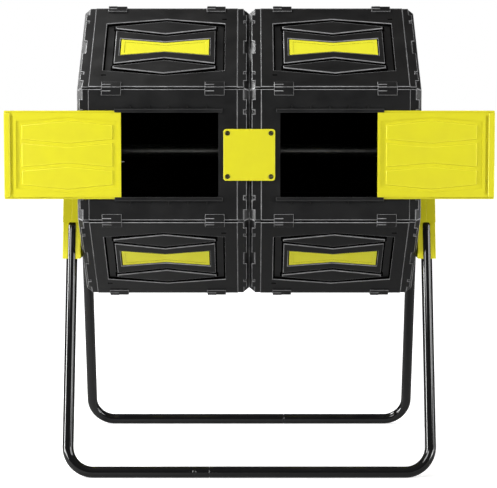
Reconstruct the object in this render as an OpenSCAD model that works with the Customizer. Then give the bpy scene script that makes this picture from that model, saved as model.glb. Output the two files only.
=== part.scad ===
// Dual-chamber compost tumbler. Two seven-sided drums hang on one level axle
// between two A-shaped tube stands, and a sliding door closes each drum.
// X runs along the axle, -Y is the door side, Z is up, and the floor is z = 0.

/* [Drum] */
// Width of one of the seven faces
face_width = 260; // [220:1:312]
// Length of a drum panel along the axle
panel_length = 312; // [260:1:380]
// Thickness of a panel's wall
panel_wall = 6; // [5:0.5:8]
// Axial depth of a chamfered end plate beyond the panels
end_depth = 11; // [9:0.5:14]
// Radial drop of the end plate's chamfer
end_drop = 8; // [5:0.5:10]
// Web thickness of an end plate
end_web = 4; // [3:0.5:5]
// How far an end plate's lip reaches under the panels
end_lap = 18; // [10:1:30]
// Axial reach of the tabs on a panel's end
tab_reach = 6; // [4:0.5:8]
// Thickness of the tabs on a panel's end
tab_wall = 3; // [2:0.5:4]
// Height of the mixing fin inside each panel
fin_height = 42; // [25:1:60]
// Thickness of the mixing fin
fin_wall = 4; // [3:0.5:6]

/* [Panel relief] */
// Depth of the sunken field on a panel
relief_depth = 4.5; // [1.5:0.5:4.5]
// Length of the sunken field
field_length = 238; // [200:1:250]
// Height of the sunken field at its ends
field_end = 152; // [140:1:160]
// Height of the sunken field at its middle
field_mid = 182; // [170:1:190]
// Length of the bow-tie insert
insert_length = 176; // [150:1:186]
// Height of the insert at its ends
insert_end = 52; // [44:1:60]
// Height of the insert at its middle
insert_mid = 29; // [22:1:34]
// Thickness of the insert
insert_wall = 3; // [2:0.5:4]

/* [Doors] */
// Length of a door opening along the axle
opening_length = 188; // [160:1:200]
// Height of a door opening
opening_height = 163; // [140:1:170]
// Distance from the drums' meeting plane to a door opening
opening_start = 60; // [56:1:70]
// Length of a door
door_length = 226; // [216:1:236]
// Height of a door
door_height = 171; // [168:1:176]
// Thickness of a door's sliding edge
door_edge = 4; // [3:0.5:5]
// Gap all round a door's sliding edge
door_gap = 0.5; // [0.3:0.1:1]
// How far a rail's lip covers the door's edge
lip_cover = 3.5; // [2.5:0.5:4]
// Wall of the door rails
rail_wall = 4; // [3:0.5:6]
// Thickness of a rail's lip
lip_wall = 2; // [1.5:0.5:3]
// Width of the grip bar at a door's end
grip_width = 12; // [10:1:16]

/* [Joining] */
// Side of the square joining plate
plate_side = 100; // [90:1:100]
// Thickness of the joining plate
plate_wall = 4; // [3:0.5:6]
// Spacing of the joining plate's screws
screw_pitch = 84; // [74:1:86]
// Diameter of the joining screws' heads
screw_head = 9; // [7:0.5:10]
// Diameter of the joining screws' shanks
screw_shank = 4.5; // [3:0.5:5]
// Width of a panel clip
clip_width = 38; // [30:1:44]
// Length of a clip's leg on each panel
clip_leg = 15; // [12:1:18]
// Thickness of a clip
clip_wall = 2.5; // [2:0.5:3]
// Distance of a clip from the middle of its panel
clip_offset = 100; // [80:1:110]
// Radius of the ring of bolts that couples the drums
coupling_ring = 150; // [120:1:170]
// Diameter of the coupling bolts
coupling_bolt = 8; // [6:1:10]

/* [Axle] */
// Height of the axle above the floor
axle_height = 628.8; // [560:0.1:760]
// Outer diameter of the axle tube
axle_d = 25.4; // [20:0.1:32]
// Wall of the axle tube
axle_wall = 2; // [1.5:0.5:4]
// Radial running clearance of the bushes on the axle
bush_clearance = 0.05; // [0.03:0.01:0.1]
// Wall of a bush
bush_wall = 4; // [3:0.5:6]
// Thickness of a bush's flange
bush_flange = 1.5; // [1:0.5:2]
// Length of a bush
bush_length = 30; // [20:1:40]

/* [Stand] */
// Outer diameter of the stand tube
tube_d = 22; // [18:1:26]
// Wall of the stand tube
tube_wall = 1.5; // [1:0.1:2]
// Radius of a bend's centre line
bend_r = 50; // [40:1:80]
// Distance from the axle to each bottom bar, seen from above
foot_reach = 294; // [260:1:340]
// Distance from the axle to the top of each leg, seen from above
leg_top_reach = 151.6; // [140:0.1:170]
// Depth of the leg tops below the axle
leg_top_drop = 138; // [120:1:160]
// Distance from the middle to the seam in a bottom bar
seam_offset = 78; // [60:1:100]
// Length of the reduced end inside a seam
spigot_length = 50; // [40:1:60]
// Distance from a seam to its snap button
button_offset = 29; // [22:1:34]
// Diameter of a snap button
button_d = 8; // [6:0.5:9]

/* [Brackets] */
// Gap between a drum and its bracket
bracket_gap = 2.5; // [2:0.5:5]
// Thickness of a bracket along the axle
bracket_width = 36; // [34:1:44]
// Wall of a bracket
bracket_wall = 4; // [3:0.5:5]
// Radius of a bracket's hub
hub_r = 62; // [50:1:75]
// Depth of a bracket's bottom edge below the axle
bracket_drop = 210; // [190:1:230]
// Radius of the arch in a bracket's bottom edge
arch_r = 84; // [70:1:95]
// How far the bracket's lower flank stands in front of the leg's axis
cheek_cover = 8; // [7:1:10]
// Diameter of the bolts through the legs
leg_bolt = 6; // [5:1:8]

/* [Hidden] */

$fn = 48;
LEFT = -1;
RIGHT = 1;
SIDES = [LEFT, RIGHT];
FACES = 7;
over = 1;                                   // how far a cut runs past its solid
face_turn = 360 / FACES;
mitre = face_turn / 2;
apothem = face_width / 2 / tan(mitre);
corner_r = face_width / 2 / sin(mitre);
panel_mid = end_depth + panel_length / 2;
drum_half = panel_length + 2 * end_depth;

// Notches along a panel's end, measured across the panel from its middle line
corner_notch = 23;
hook_inset = 47;
hook_gap = 8;
hook_width = 5;
middle_notch = 40;
strip_width = 12;                           // stepped strip at each end of a panel
strip_depth = 1;
fin_end_gap = 5;
fin_holes = 5;
edge_gap = 3;                               // a panel's face stops this far short of the drum's edge
edge_depth = 2.5;                           // depth of the groove that this leaves
pocket_rib = 7;                             // half width of the ribs between end pockets
vent_d = 9;
vent_pitch = 45;
vent_inset = 22;
ridge_d = 2;                                // ridges on a clip
vent_slot = [9.5, 3];
vent_place = [117, 91];

// Relief: the lens bars lie above and below the bow-tie frame
frame_length = 198;
frame_end = 106;
frame_mid = 70;
lens_length = 202;
lens_outer_end = 136;
lens_outer_mid = 170;
lens_inner_end = 120;
lens_inner_mid = 84;
insert_sink = 1;                            // insert's rim below the panel's face
insert_rim = 7;                             // width of the rim round the insert's sunken middle
insert_dish = 0.8;                          // depth of that middle below the rim

door_open_start = opening_start + opening_length;
door_lap = 8;                               // a shut door covers this much past the opening
door_hold = 12.5;                           // length of an open door that the lips still hold
rail_start = opening_start - door_lap;
rail_end = door_open_start + door_hold;
lip_edge = door_height / 2 - lip_cover;
rail_inner = door_height / 2 + door_gap;
lip_floor = door_edge + 2 * door_gap;
door_body_top = lip_floor + lip_wall + 1;   // the door's face stands proud of the lips
gusset_pitch = 37;
gusset_count = 5;
gusset_reach = 7;
gusset_wall = 2.5;
grip_rise = 2;
groove_width = 6;
groove_depth = 2.5;
groove_inset = 6;
door_relief = 2;
door_recess = [197, 129, 146];              // length, height at ends, height at middle
door_island_length = 176;
door_lens_outer = [116, 133];               // heights at ends and at middle
door_lens_inner = [60, 44];
door_waist = [47, 32];

stand_half = drum_half + bracket_gap + bracket_width / 2;
bracket_in = drum_half + bracket_gap;
bracket_out = bracket_in + bracket_width;
tube_r = tube_d / 2;
foot_drop = axle_height - tube_r;
leg_rise = foot_drop - leg_top_drop;
leg_tilt = atan((foot_reach - leg_top_reach) / leg_rise);
leg_length = leg_rise / cos(leg_tilt);
neck_length = 10;                           // where a long tube narrows to its spigot
plug_head = 8;
plug_depth = 15;
leg_cover = 16;                             // bracket's upper flank in front of the leg's axis
shoulder_drop = 40;
hub_sink = 2;                               // the shoulders end this far inside the hub's circle
sleeve_wall = 3.5;                          // of the channel that holds a leg
leg_bolt_places = [26, 56];                 // below the top of the leg
bolt_sink = 5;
bolt_head_r = leg_bolt;
axle_over = 4;

BLACK = [0.13, 0.13, 0.14];
GLOSS_BLACK = [0.05, 0.05, 0.055];
YELLOW = [0.92, 0.9, 0.18];
STEEL = [0.6, 0.6, 0.58];

// ---- placing ---------------------------------------------------------------

// Lies flat on drum face k: x along the axle, y across the face, z outward
module at_face(side, k)
    translate([side * panel_mid, 0, axle_height])
        rotate([90 - k * face_turn, 0, 0])
            translate([0, 0, apothem]) children();

// As at_face on the door side, with x running outward from the drum's middle
module at_door(side)
    at_face(side, 0) mirror([side == LEFT ? 1 : 0, 0, 0]) children();

// Turns z to +X on the right and to -X on the left, centred on the axle
module along_axle(side)
    translate([0, 0, axle_height]) mirror([side == LEFT ? 1 : 0, 0, 0])
        rotate([0, 90, 0]) rotate([0, 0, 90]) children();

// Seven-sided prism with a flat to the front; faces lie at distance r1, then r2
module seven_sided(h, r1, r2)
    cylinder(h = h, r1 = r1 / cos(mitre), r2 = r2 / cos(mitre), $fn = FACES);

// Repeats around the seven faces, in along_axle's frame with y to the face
module each_face()
    for (k = [0 : FACES - 1]) rotate([0, 0, mitre + k * face_turn - 90]) children();

// ---- drum panels -----------------------------------------------------------

// Six-cornered outline: height end_h at both ends and mid_h in the middle
module waisted(length, end_h, mid_h)
    polygon([
        [-length / 2, -end_h / 2], [0, -mid_h / 2], [length / 2, -end_h / 2],
        [length / 2, end_h / 2], [0, mid_h / 2], [-length / 2, end_h / 2]
    ]);

module panel_section() {
    half = face_width / 2;
    foot = half - panel_wall * tan(mitre);
    shelf = half - edge_depth * tan(mitre);
    polygon([
        [-foot, -panel_wall], [foot, -panel_wall],
        [shelf, -edge_depth], [half - edge_gap, -edge_depth], [half - edge_gap, 0],
        [-half + edge_gap, 0], [-half + edge_gap, -edge_depth], [-shelf, -edge_depth]
    ]);
}

module panel_bar(length)
    rotate([90, 0, 90]) linear_extrude(length, center = true) panel_section();

// The plate with a tabbed edge at both ends
module panel_blank() {
    difference() {
        panel_bar(panel_length + 2 * tab_reach);
        for (end = SIDES) {
            // the tabs are thinner than the wall
            translate([end * (panel_length / 2 + tab_reach), 0, -panel_wall])
                cube([2 * tab_reach, face_width, 2 * (panel_wall - tab_wall)], center = true);
            translate([end * (panel_length / 2 + tab_reach), 0, 0])
                tab_notches();
            // stepped strip along the end
            translate([end * (panel_length / 2 + tab_reach), 0, 0])
                cube([2 * (strip_width + tab_reach), face_width, 2 * strip_depth], center = true);
        }
    }
}

module tab_notches() {
    cut = [2 * tab_reach, 1, 3 * panel_wall];
    cube([cut.x, middle_notch, cut.z], center = true);
    for (s = SIDES) {
        translate([0, s * (face_width / 2 - hook_inset), 0])
            cube([cut.x, hook_gap, cut.z], center = true);
        translate([0, s * face_width / 2, 0])
            cube([cut.x, 2 * corner_notch, cut.z], center = true);
    }
}

// Stands on a panel's inner face
module mixing_fin(across)
    translate([0, across, -panel_wall - fin_height / 2])
        difference() {
            cube([panel_length - 2 * (end_lap + fin_end_gap), fin_wall, fin_height],
                 center = true);
            for (i = [0 : fin_holes - 1])
                translate([(i - (fin_holes - 1) / 2) * panel_length / (fin_holes + 1), 0, 0])
                    rotate([90, 0, 0])
                    cylinder(d = fin_height / 2, h = 2 * fin_wall, center = true);
        }

// The two parts of one outline that lie above and below another
module lens_pair(length, outer_end, outer_mid, inner_end, inner_mid)
    difference() {
        waisted(length, outer_end, outer_mid);
        waisted(length + over, inner_end, inner_mid);
    }

module relief_cut()
    translate([0, 0, -relief_depth]) linear_extrude(relief_depth + over)
        difference() {
            waisted(field_length, field_end, field_mid);
            lens_pair(lens_length, lens_outer_end, lens_outer_mid, lens_inner_end, lens_inner_mid);
            waisted(frame_length, frame_end, frame_mid);
        }

module vent_slots()
    for (s = SIDES)
        translate([s * vent_place.x, s * vent_place.y, 0])
            cube([vent_slot.x, vent_slot.y, 3 * panel_wall], center = true);

module panel(side, k)
    color(BLACK) at_face(side, k) difference() {
        panel_blank();
        relief_cut();
        vent_slots();
        translate([0, 0, -insert_sink - insert_wall])
            linear_extrude(insert_sink + insert_wall + over)
                waisted(insert_length, insert_end, insert_mid);
    }

// One fin in each plain panel, and one on each side of the door opening
module fins(side)
    color(BLACK) {
        for (k = [1 : FACES - 1]) at_face(side, k) mixing_fin(0);
        for (s = SIDES) at_face(side, 0) mixing_fin(s * (face_width / 2 - corner_notch));
    }

module insert(side, k)
    color(YELLOW) at_face(side, k)
        translate([0, 0, -insert_sink - insert_wall])
            difference() {
                linear_extrude(insert_wall) waisted(insert_length, insert_end, insert_mid);
                translate([0, 0, insert_wall - insert_dish]) linear_extrude(insert_dish + over)
                    waisted(insert_length - 2 * insert_rim, insert_end - 2 * insert_rim,
                            insert_mid - 2 * insert_rim);
            }

// ---- door panels and doors --------------------------------------------------

module door_rail() {
    length = rail_end - rail_start;
    middle = (rail_start + rail_end) / 2 - panel_mid;
    translate([middle, 0, 0]) rotate([90, 0, 90]) linear_extrude(length, center = true)
        polygon([
            [rail_inner, -over / 2], [rail_inner, lip_floor], [lip_edge, lip_floor],
            [lip_edge, lip_floor + lip_wall],
            [rail_inner + rail_wall - lip_wall, lip_floor + lip_wall],
            [rail_inner + rail_wall, lip_floor], [rail_inner + rail_wall, -over / 2]
        ]);
    for (i = [0 : gusset_count - 1])
        translate([middle + (i - (gusset_count - 1) / 2) * gusset_pitch, rail_inner + rail_wall, 0])
            rotate([90, 0, 90]) linear_extrude(gusset_wall, center = true)
                polygon([[-over, -over / 2], [-over, lip_floor - 1], [0, lip_floor - 1],
                         [gusset_reach, 0], [gusset_reach, -over / 2]]);
}

module door_panel(side)
    color(BLACK) at_door(side) {
        difference() {
            panel_blank();
            translate([opening_start + opening_length / 2 - panel_mid, 0, 0])
                cube([opening_length, opening_height, 3 * panel_wall], center = true);
            for (s = SIDES)
                translate([screw_pitch / 2 - panel_mid, s * screw_pitch / 2, -2 * panel_wall])
                    cylinder(d = screw_shank, h = 3 * panel_wall);
        }
        door_rail();
        mirror([0, 1, 0]) door_rail();
    }

// A sunken field with a bow tie between two lenses left standing in it
module door_relief_cut()
    linear_extrude(door_relief + over) difference() {
        waisted(door_recess.x, door_recess.y, door_recess.z);
        lens_pair(door_island_length, door_lens_outer.x, door_lens_outer.y,
                  door_lens_inner.x, door_lens_inner.y);
        waisted(door_island_length, door_waist.x, door_waist.y);
    }

module door(side)
    color(YELLOW) at_door(side)
        translate([door_open_start + door_length / 2 - panel_mid, 0, door_gap]) {
            body = [door_length, 2 * (lip_edge - door_gap), door_body_top - door_gap];
            difference() {
                union() {
                    translate([0, 0, door_edge / 2])
                        cube([door_length, door_height, door_edge], center = true);
                    translate([0, 0, body.z / 2]) cube(body, center = true);
                    translate([door_length / 2 - grip_width / 2, 0, (body.z + grip_rise) / 2])
                        cube([grip_width, body.y, body.z + grip_rise], center = true);
                }
                translate([-(grip_width + groove_width) / 2, 0, body.z - door_relief])
                    door_relief_cut();
                // finger groove inside the grip bar
                translate([door_length / 2 - grip_width - groove_width / 2, 0, body.z])
                    cube([groove_width, body.y - 2 * groove_inset, 2 * groove_depth], center = true);
            }
        }

// ---- drum ends, bushes, clips and joining parts -----------------------------

// z = 0 is where the panels stop; the plate closes the drum at z = end_depth
module chamber_end() {
    rim = apothem - tab_wall;
    lip = apothem - panel_wall;
    difference() {
        union() {
            seven_sided(end_depth, rim, rim - end_drop);
            translate([0, 0, -end_lap]) seven_sided(end_lap, lip, lip);
            each_face() for (s = SIDES)
                translate([s * (face_width / 2 - hook_inset) - hook_width / 2, lip - over, 0])
                    cube([hook_width, panel_wall + over - strip_depth, hook_width]);
        }
        translate([0, 0, -end_lap - over])
            seven_sided(end_lap + over + end_depth - end_web,
                        lip - end_web - end_drop, lip - end_web - end_drop);
        translate([0, 0, -end_lap - over])
            seven_sided(end_lap + over, lip - end_web, lip - end_web);
        each_face() sector_pocket();
    }
}

// Shallow pocket and three air vents in the web, between two ribs
module sector_pocket() {
    near = hub_r + pocket_rib;
    far = apothem - panel_wall - end_web - end_drop - 2 * pocket_rib;
    rib = pocket_rib;
    translate([0, 0, end_depth - end_web / 2]) linear_extrude(end_web)
        polygon([
            [-near * tan(mitre) + rib, near], [near * tan(mitre) - rib, near],
            [far * tan(mitre) - rib, far], [-far * tan(mitre) + rib, far]
        ]);
    for (i = [-1 : 1])
        translate([i * vent_pitch, far - vent_inset, 0]) cylinder(d = vent_d, h = end_depth + over);
}

module chamber_hub(bore)
    difference() {
        children();
        translate([0, 0, -end_lap - bush_length])
            cylinder(d = bore, h = 2 * bush_length + end_lap + end_depth);
    }

module bush_boss()
    translate([0, 0, end_depth - bush_length])
        cylinder(r = axle_d / 2 + 3 * bush_wall, h = bush_length);

module inner_end(side)
    color(BLACK) along_axle(side) translate([0, 0, end_depth]) mirror([0, 0, 1])
        difference() {
            chamber_hub(axle_d + 2) union() {
                chamber_end();
                translate([0, 0, end_depth - 2 * end_web])
                    cylinder(r = axle_d / 2 + 3 * bush_wall, h = 2 * end_web);
            }
            bolt_ring() cylinder(d = coupling_bolt, h = end_depth + over);
        }

module bolt_ring()
    for (k = [0 : FACES - 1])
        rotate([0, 0, k * face_turn]) translate([0, coupling_ring, 0]) children();

module outer_end(side)
    color(BLACK) along_axle(side) translate([0, 0, drum_half - end_depth])
        chamber_hub(axle_d + 2 * bush_clearance + 2 * bush_wall) union() {
            chamber_end();
            bush_boss();
        }

module bush(side)
    color(GLOSS_BLACK) along_axle(side) translate([0, 0, drum_half]) {
        difference() {
            union() {
                translate([0, 0, -bush_length])
                    cylinder(r = axle_d / 2 + bush_clearance + bush_wall, h = bush_length);
                cylinder(r = axle_d / 2 + 2.5 * bush_wall, h = bush_flange);
            }
            translate([0, 0, -bush_length - over])
                cylinder(r = axle_d / 2 + bush_clearance, h = bush_length + bush_flange + 2 * over);
        }
    }

// Bent plate over the edge between two panels; three ridges on its inner half
module clip() {
    reach = [clip_leg * cos(mitre), -clip_leg * sin(mitre)];
    lift = [clip_wall * sin(mitre), clip_wall * cos(mitre)];
    rotate([90, 0, 90]) {
        linear_extrude(clip_width, center = true)
            polygon([
                [0, 0], [reach.x, reach.y], [reach.x + lift.x, reach.y + lift.y],
                [0, clip_wall / cos(mitre)],
                [-reach.x - lift.x, reach.y + lift.y], [-reach.x, reach.y]
            ]);
        for (s = SIDES)
            translate([s * reach.x / 2, reach.y / 2, 0]) clip_ridge();
        clip_ridge();
    }
}

module clip_ridge()
    translate([0, clip_wall / cos(mitre) - ridge_d / 6, -clip_width / 4])
        cylinder(d = ridge_d, h = clip_width / 2 - ridge_d, center = true);

module clips(side)
    color(BLACK) for (k = [0 : FACES - 1], s = SIDES)
        translate([side * panel_mid + s * clip_offset, 0, axle_height])
            rotate([90 - (k + 0.5) * face_turn, 0, 0])
                translate([0, 0, corner_r]) clip();

module joining_plate()
    color(YELLOW) at_joint_plane() difference() {
        corner = 6;
        inner = plate_side / 2 - corner;
        linear_extrude(plate_wall) union() {
            square([plate_side, 2 * inner], center = true);
            square([2 * inner, plate_side], center = true);
            for (x = SIDES, y = SIDES) translate([x * inner, y * inner]) circle(corner);
        }
        plate_corners() {
            translate([0, 0, -over]) cylinder(d = screw_shank, h = plate_wall + 2 * over);
            translate([0, 0, plate_wall / 2]) cylinder(d = screw_head, h = plate_wall);
        }
    }

// Lies on the front faces with its middle where the two drums meet
module at_joint_plane()
    translate([0, -apothem, axle_height]) rotate([90, 0, 0]) children();

module plate_corners()
    for (x = SIDES, y = SIDES)
        translate([x * screw_pitch / 2, y * screw_pitch / 2, 0]) children();

module plate_screws()
    color(STEEL) at_joint_plane() plate_corners() difference() {
        union() {
            translate([0, 0, -2 * panel_wall])
                cylinder(d = screw_shank, h = 2 * panel_wall + plate_wall / 2);
            translate([0, 0, plate_wall / 2]) cylinder(d = screw_head, h = plate_wall / 2 + 0.6);
        }
        translate([0, 0, plate_wall]) for (turn = [0, 90]) rotate(turn)
            cube([screw_head * 0.6, 1.2, 2], center = true);
    }

module coupling_bolts()
    color(STEEL) along_axle(RIGHT) bolt_ring() {
        grip = end_web;
        head = coupling_bolt * 0.65;
        cylinder(d = coupling_bolt, h = 2 * grip + 2 * head, center = true);
        for (s = SIDES) translate([0, 0, s * (grip + head / 2)])
            cylinder(d = coupling_bolt * 1.8, h = head, center = true, $fn = 6);
    }

// ---- stand ------------------------------------------------------------------

// Rod along one bent tube, flat: x along the floor bar, y up the leg
module tube_run(r, seam, past) {
    translate([stand_half, leg_length + past - plug_head, 0]) rotate([90, 0, 0])
        cylinder(r = r, h = leg_length + past - plug_head - bend_r);
    translate([stand_half - bend_r, bend_r, 0]) rotate([0, 0, -90])
        rotate_extrude(angle = 90) translate([bend_r, 0]) circle(r);
    translate([seam - past, 0, 0]) rotate([0, 90, 0])
        cylinder(r = r, h = stand_half - bend_r - seam + past);
}

// Stands the flat frame up on the floor, leaning toward the axle
module standing(rear)
    rotate([0, 0, rear ? 180 : 0]) translate([0, -foot_reach, tube_r])
        rotate([90 - leg_tilt, 0, 0]) children();

module leg_bolt_holes(d)
    for (s = SIDES, down = leg_bolt_places)
        translate([s * stand_half, leg_length - down, 0]) rotate([0, 90, 0])
            cylinder(d = d, h = 2 * bracket_width, center = true);

module long_tube(rear)
    color(GLOSS_BLACK) standing(rear) difference() {
        union() {
            tube_run(tube_r, -seam_offset, 0);
            spigot_rod(tube_r - tube_wall, 0);
        }
        tube_run(tube_r - tube_wall, -seam_offset + neck_length + over, over);
        spigot_rod(tube_r - 2 * tube_wall, over);
        leg_bolt_holes(leg_bolt);
        button_place() cylinder(d = button_d, h = 2 * tube_d);
    }

module spigot_rod(r, past)
    translate([-seam_offset - spigot_length - past, 0, 0]) rotate([0, 90, 0])
        cylinder(r = r, h = spigot_length + neck_length + 2 * past);

module short_tube(rear)
    color(GLOSS_BLACK) standing(rear) difference() {
        mirror([1, 0, 0]) difference() {
            tube_run(tube_r, seam_offset, 0);
            tube_run(tube_r - tube_wall, seam_offset, over);
        }
        leg_bolt_holes(leg_bolt);
        button_place() cylinder(d = button_d, h = 2 * tube_d);
    }

// On the outward side of the bottom bar
module button_place()
    translate([-seam_offset - button_offset, 0, 0]) children();

module snap_buttons()
    color(GLOSS_BLACK) for (rear = [false, true]) standing(rear) button_place() {
        translate([0, 0, tube_r - 3 * tube_wall]) cylinder(d = button_d, h = 3 * tube_wall);
        translate([0, 0, tube_r]) intersection() {
            translate([0, 0, -button_d / 2]) sphere(r = button_d / 2 * sqrt(2));
            cylinder(d = button_d, h = button_d);
        }
    }

module leg_plugs()
    color(BLACK) for (rear = [false, true], s = SIDES) standing(rear)
        translate([s * stand_half, leg_length - plug_head, 0]) rotate([-90, 0, 0]) {
            translate([0, 0, -plug_depth]) cylinder(r = tube_r - tube_wall, h = plug_depth);
            rotate_extrude() union() {
                square([tube_r - plug_head, plug_head]);
                translate([tube_r - plug_head, 0]) intersection() {
                    circle(plug_head);
                    square(plug_head);
                }
            }
        }

// ---- side brackets ----------------------------------------------------------

// Distance from the axle to a leg's axis at a depth below the axle
function leg_reach(drop) = leg_top_reach + (drop - leg_top_drop) * tan(leg_tilt);

// Side view about the axle: x to the back, y up, drawn smaller by inset
module bracket_profile(inset) {
    upper = (leg_cover - inset) / cos(leg_tilt);
    lower = (cheek_cover - inset) / cos(leg_tilt);
    top = hub_r - inset;
    neck = (top - hub_sink) * sin(45);
    step = leg_top_drop - (inset > 0 ? inset : 0);
    bottom = bracket_drop - inset;
    difference() {
        union() {
            circle(top);
            polygon([for (s = SIDES, p = s == LEFT ? [
                [neck, neck],
                [leg_reach(shoulder_drop) + upper, -shoulder_drop],
                [leg_reach(step) + upper, -step],
                [leg_reach(step) + lower, -step],
                [leg_reach(bottom) + lower, -bottom]
            ] : [
                [-leg_reach(bottom) - lower, -bottom],
                [-leg_reach(step) - lower, -step],
                [-leg_reach(step) - upper, -step],
                [-leg_reach(shoulder_drop) - upper, -shoulder_drop],
                [-neck, neck]
            ]) p]);
        }
        translate([0, -bracket_drop]) circle(arch_r + inset);
    }
}

// Frame with z along the axle from its middle, x to the back and y up
module in_side_view(side)
    translate([0, 0, axle_height]) mirror([side == LEFT ? 1 : 0, 0, 0])
        rotate([90, 0, 90]) children();

// Rods along both legs of one side, in the side view's frame
module leg_rods(r, reach)
    for (s = SIDES)
        translate([s * leg_top_reach, -leg_top_drop, stand_half])
            rotate([90, 0, 0]) rotate([0, s * leg_tilt, 0])
                translate([0, 0, -reach]) cylinder(r = r, h = bracket_drop + reach);

module bracket_bolts(d, from, length)
    for (s = SIDES, down = leg_bolt_places)
        translate([s * (leg_top_reach + down * sin(leg_tilt)),
                   -leg_top_drop - down * cos(leg_tilt), from])
            cylinder(d = d, h = length);

// A moulded half shell between z = low and z = high; its open side is at the middle
module bracket_shell(low, high, skin_low, skin_high)
    difference() {
        union() {
            difference() {
                translate([0, 0, low]) linear_extrude(high - low) bracket_profile(0);
                translate([0, 0, skin_low]) linear_extrude(skin_high - skin_low)
                    bracket_profile(bracket_wall);
            }
            intersection() {
                translate([0, 0, low]) linear_extrude(high - low) bracket_profile(0);
                union() {
                    leg_rods(tube_r + sleeve_wall, sleeve_wall);
                    cylinder(r = axle_d / 2 + 2 * bracket_wall, h = bracket_out);
                }
            }
        }
        leg_rods(tube_r, 0);
        cylinder(d = axle_d, h = bracket_out + over);
        bracket_bolts(leg_bolt, bracket_in - over, bracket_width + 2 * over);
    }

module bracket_inner(side)
    color(YELLOW) in_side_view(side) difference() {
        bracket_shell(bracket_in, stand_half, bracket_in + bracket_wall, stand_half + over);
        bracket_bolts(2 * bolt_head_r, bracket_in - over, bolt_sink + over);
    }

module bracket_outer(side)
    color(YELLOW) in_side_view(side) difference() {
        bracket_shell(stand_half, bracket_out, stand_half - over, bracket_out - bracket_wall);
        bracket_bolts(2 * bolt_head_r, bracket_out - bolt_sink, bolt_sink + over);
    }

module leg_bolts()
    color(STEEL) for (side = SIDES) in_side_view(side) {
        bracket_bolts(leg_bolt, bracket_in + 0.5, bracket_width - 1);
        bracket_bolts(2 * bolt_head_r, bracket_in + 0.5, bolt_sink - 0.5);
        bracket_bolts(2 * bolt_head_r, bracket_out - bolt_sink, bolt_sink - 0.5);
    }

module axle()
    color(STEEL) along_axle(RIGHT) difference() {
        length = 2 * (bracket_out + axle_over);
        cylinder(d = axle_d, h = length, center = true);
        cylinder(d = axle_d - 2 * axle_wall, h = length + 2 * over, center = true);
    }

module axle_caps()
    color(BLACK) for (side = SIDES) along_axle(side) translate([0, 0, bracket_out]) {
        plug = axle_d / 2 - axle_wall;
        cap = axle_d / 2 + 2 * bracket_wall;
        difference() {
            cylinder(r = cap, h = axle_over + bracket_wall);
            translate([0, 0, -over]) cylinder(d = axle_d, h = axle_over + over);
        }
        translate([0, 0, -plug_depth]) cylinder(r = plug, h = plug_depth + axle_over + over);
    }

// ---- nodes ------------------------------------------------------------------

panel(LEFT, 1);  // left_panel_1
panel(LEFT, 2);  // left_panel_2
panel(LEFT, 3);  // left_panel_3
panel(LEFT, 4);  // left_panel_4
panel(LEFT, 5);  // left_panel_5
panel(LEFT, 6);  // left_panel_6
panel(RIGHT, 1);  // right_panel_1
panel(RIGHT, 2);  // right_panel_2
panel(RIGHT, 3);  // right_panel_3
panel(RIGHT, 4);  // right_panel_4
panel(RIGHT, 5);  // right_panel_5
panel(RIGHT, 6);  // right_panel_6
insert(LEFT, 1);  // left_insert_1
insert(LEFT, 2);  // left_insert_2
insert(LEFT, 3);  // left_insert_3
insert(LEFT, 4);  // left_insert_4
insert(LEFT, 5);  // left_insert_5
insert(LEFT, 6);  // left_insert_6
insert(RIGHT, 1);  // right_insert_1
insert(RIGHT, 2);  // right_insert_2
insert(RIGHT, 3);  // right_insert_3
insert(RIGHT, 4);  // right_insert_4
insert(RIGHT, 5);  // right_insert_5
insert(RIGHT, 6);  // right_insert_6
door_panel(LEFT);  // left_door_panel
door_panel(RIGHT);  // right_door_panel
inner_end(LEFT);  // left_inner_end
inner_end(RIGHT);  // right_inner_end
outer_end(LEFT);  // left_outer_end
outer_end(RIGHT);  // right_outer_end
fins(LEFT);  // left_fins
fins(RIGHT);  // right_fins
clips(LEFT);  // left_clips
clips(RIGHT);  // right_clips
bush(LEFT);  // left_bush
bush(RIGHT);  // right_bush
joining_plate();
plate_screws();
coupling_bolts();
door(LEFT);  // left_door
door(RIGHT);  // right_door
axle();
axle_caps();
bracket_inner(LEFT);  // left_bracket_inner
bracket_outer(LEFT);  // left_bracket_outer
bracket_inner(RIGHT);  // right_bracket_inner
bracket_outer(RIGHT);  // right_bracket_outer
long_tube(false);  // front_long_tube
short_tube(false);  // front_short_tube
long_tube(true);  // rear_long_tube
short_tube(true);  // rear_short_tube
leg_plugs();
leg_bolts();
snap_buttons();
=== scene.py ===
"""Looks of a dual-chamber compost tumbler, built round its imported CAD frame.

Two seven-sided drums share one level axle in a splayed tube stand, and a door
slides over each drum's opening. Each class below builds one sub-assembly with
bmesh and dresses it in a finish. Shapes are drawn in millimetres about their
own datum; they are scaled to metres when they are placed.
"""

from __future__ import annotations

import logging
import math
from dataclasses import dataclass, field
from enum import Enum
from typing import Callable, Iterable, Sequence

import bmesh
import bpy
from mathutils import Matrix, Vector

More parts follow.
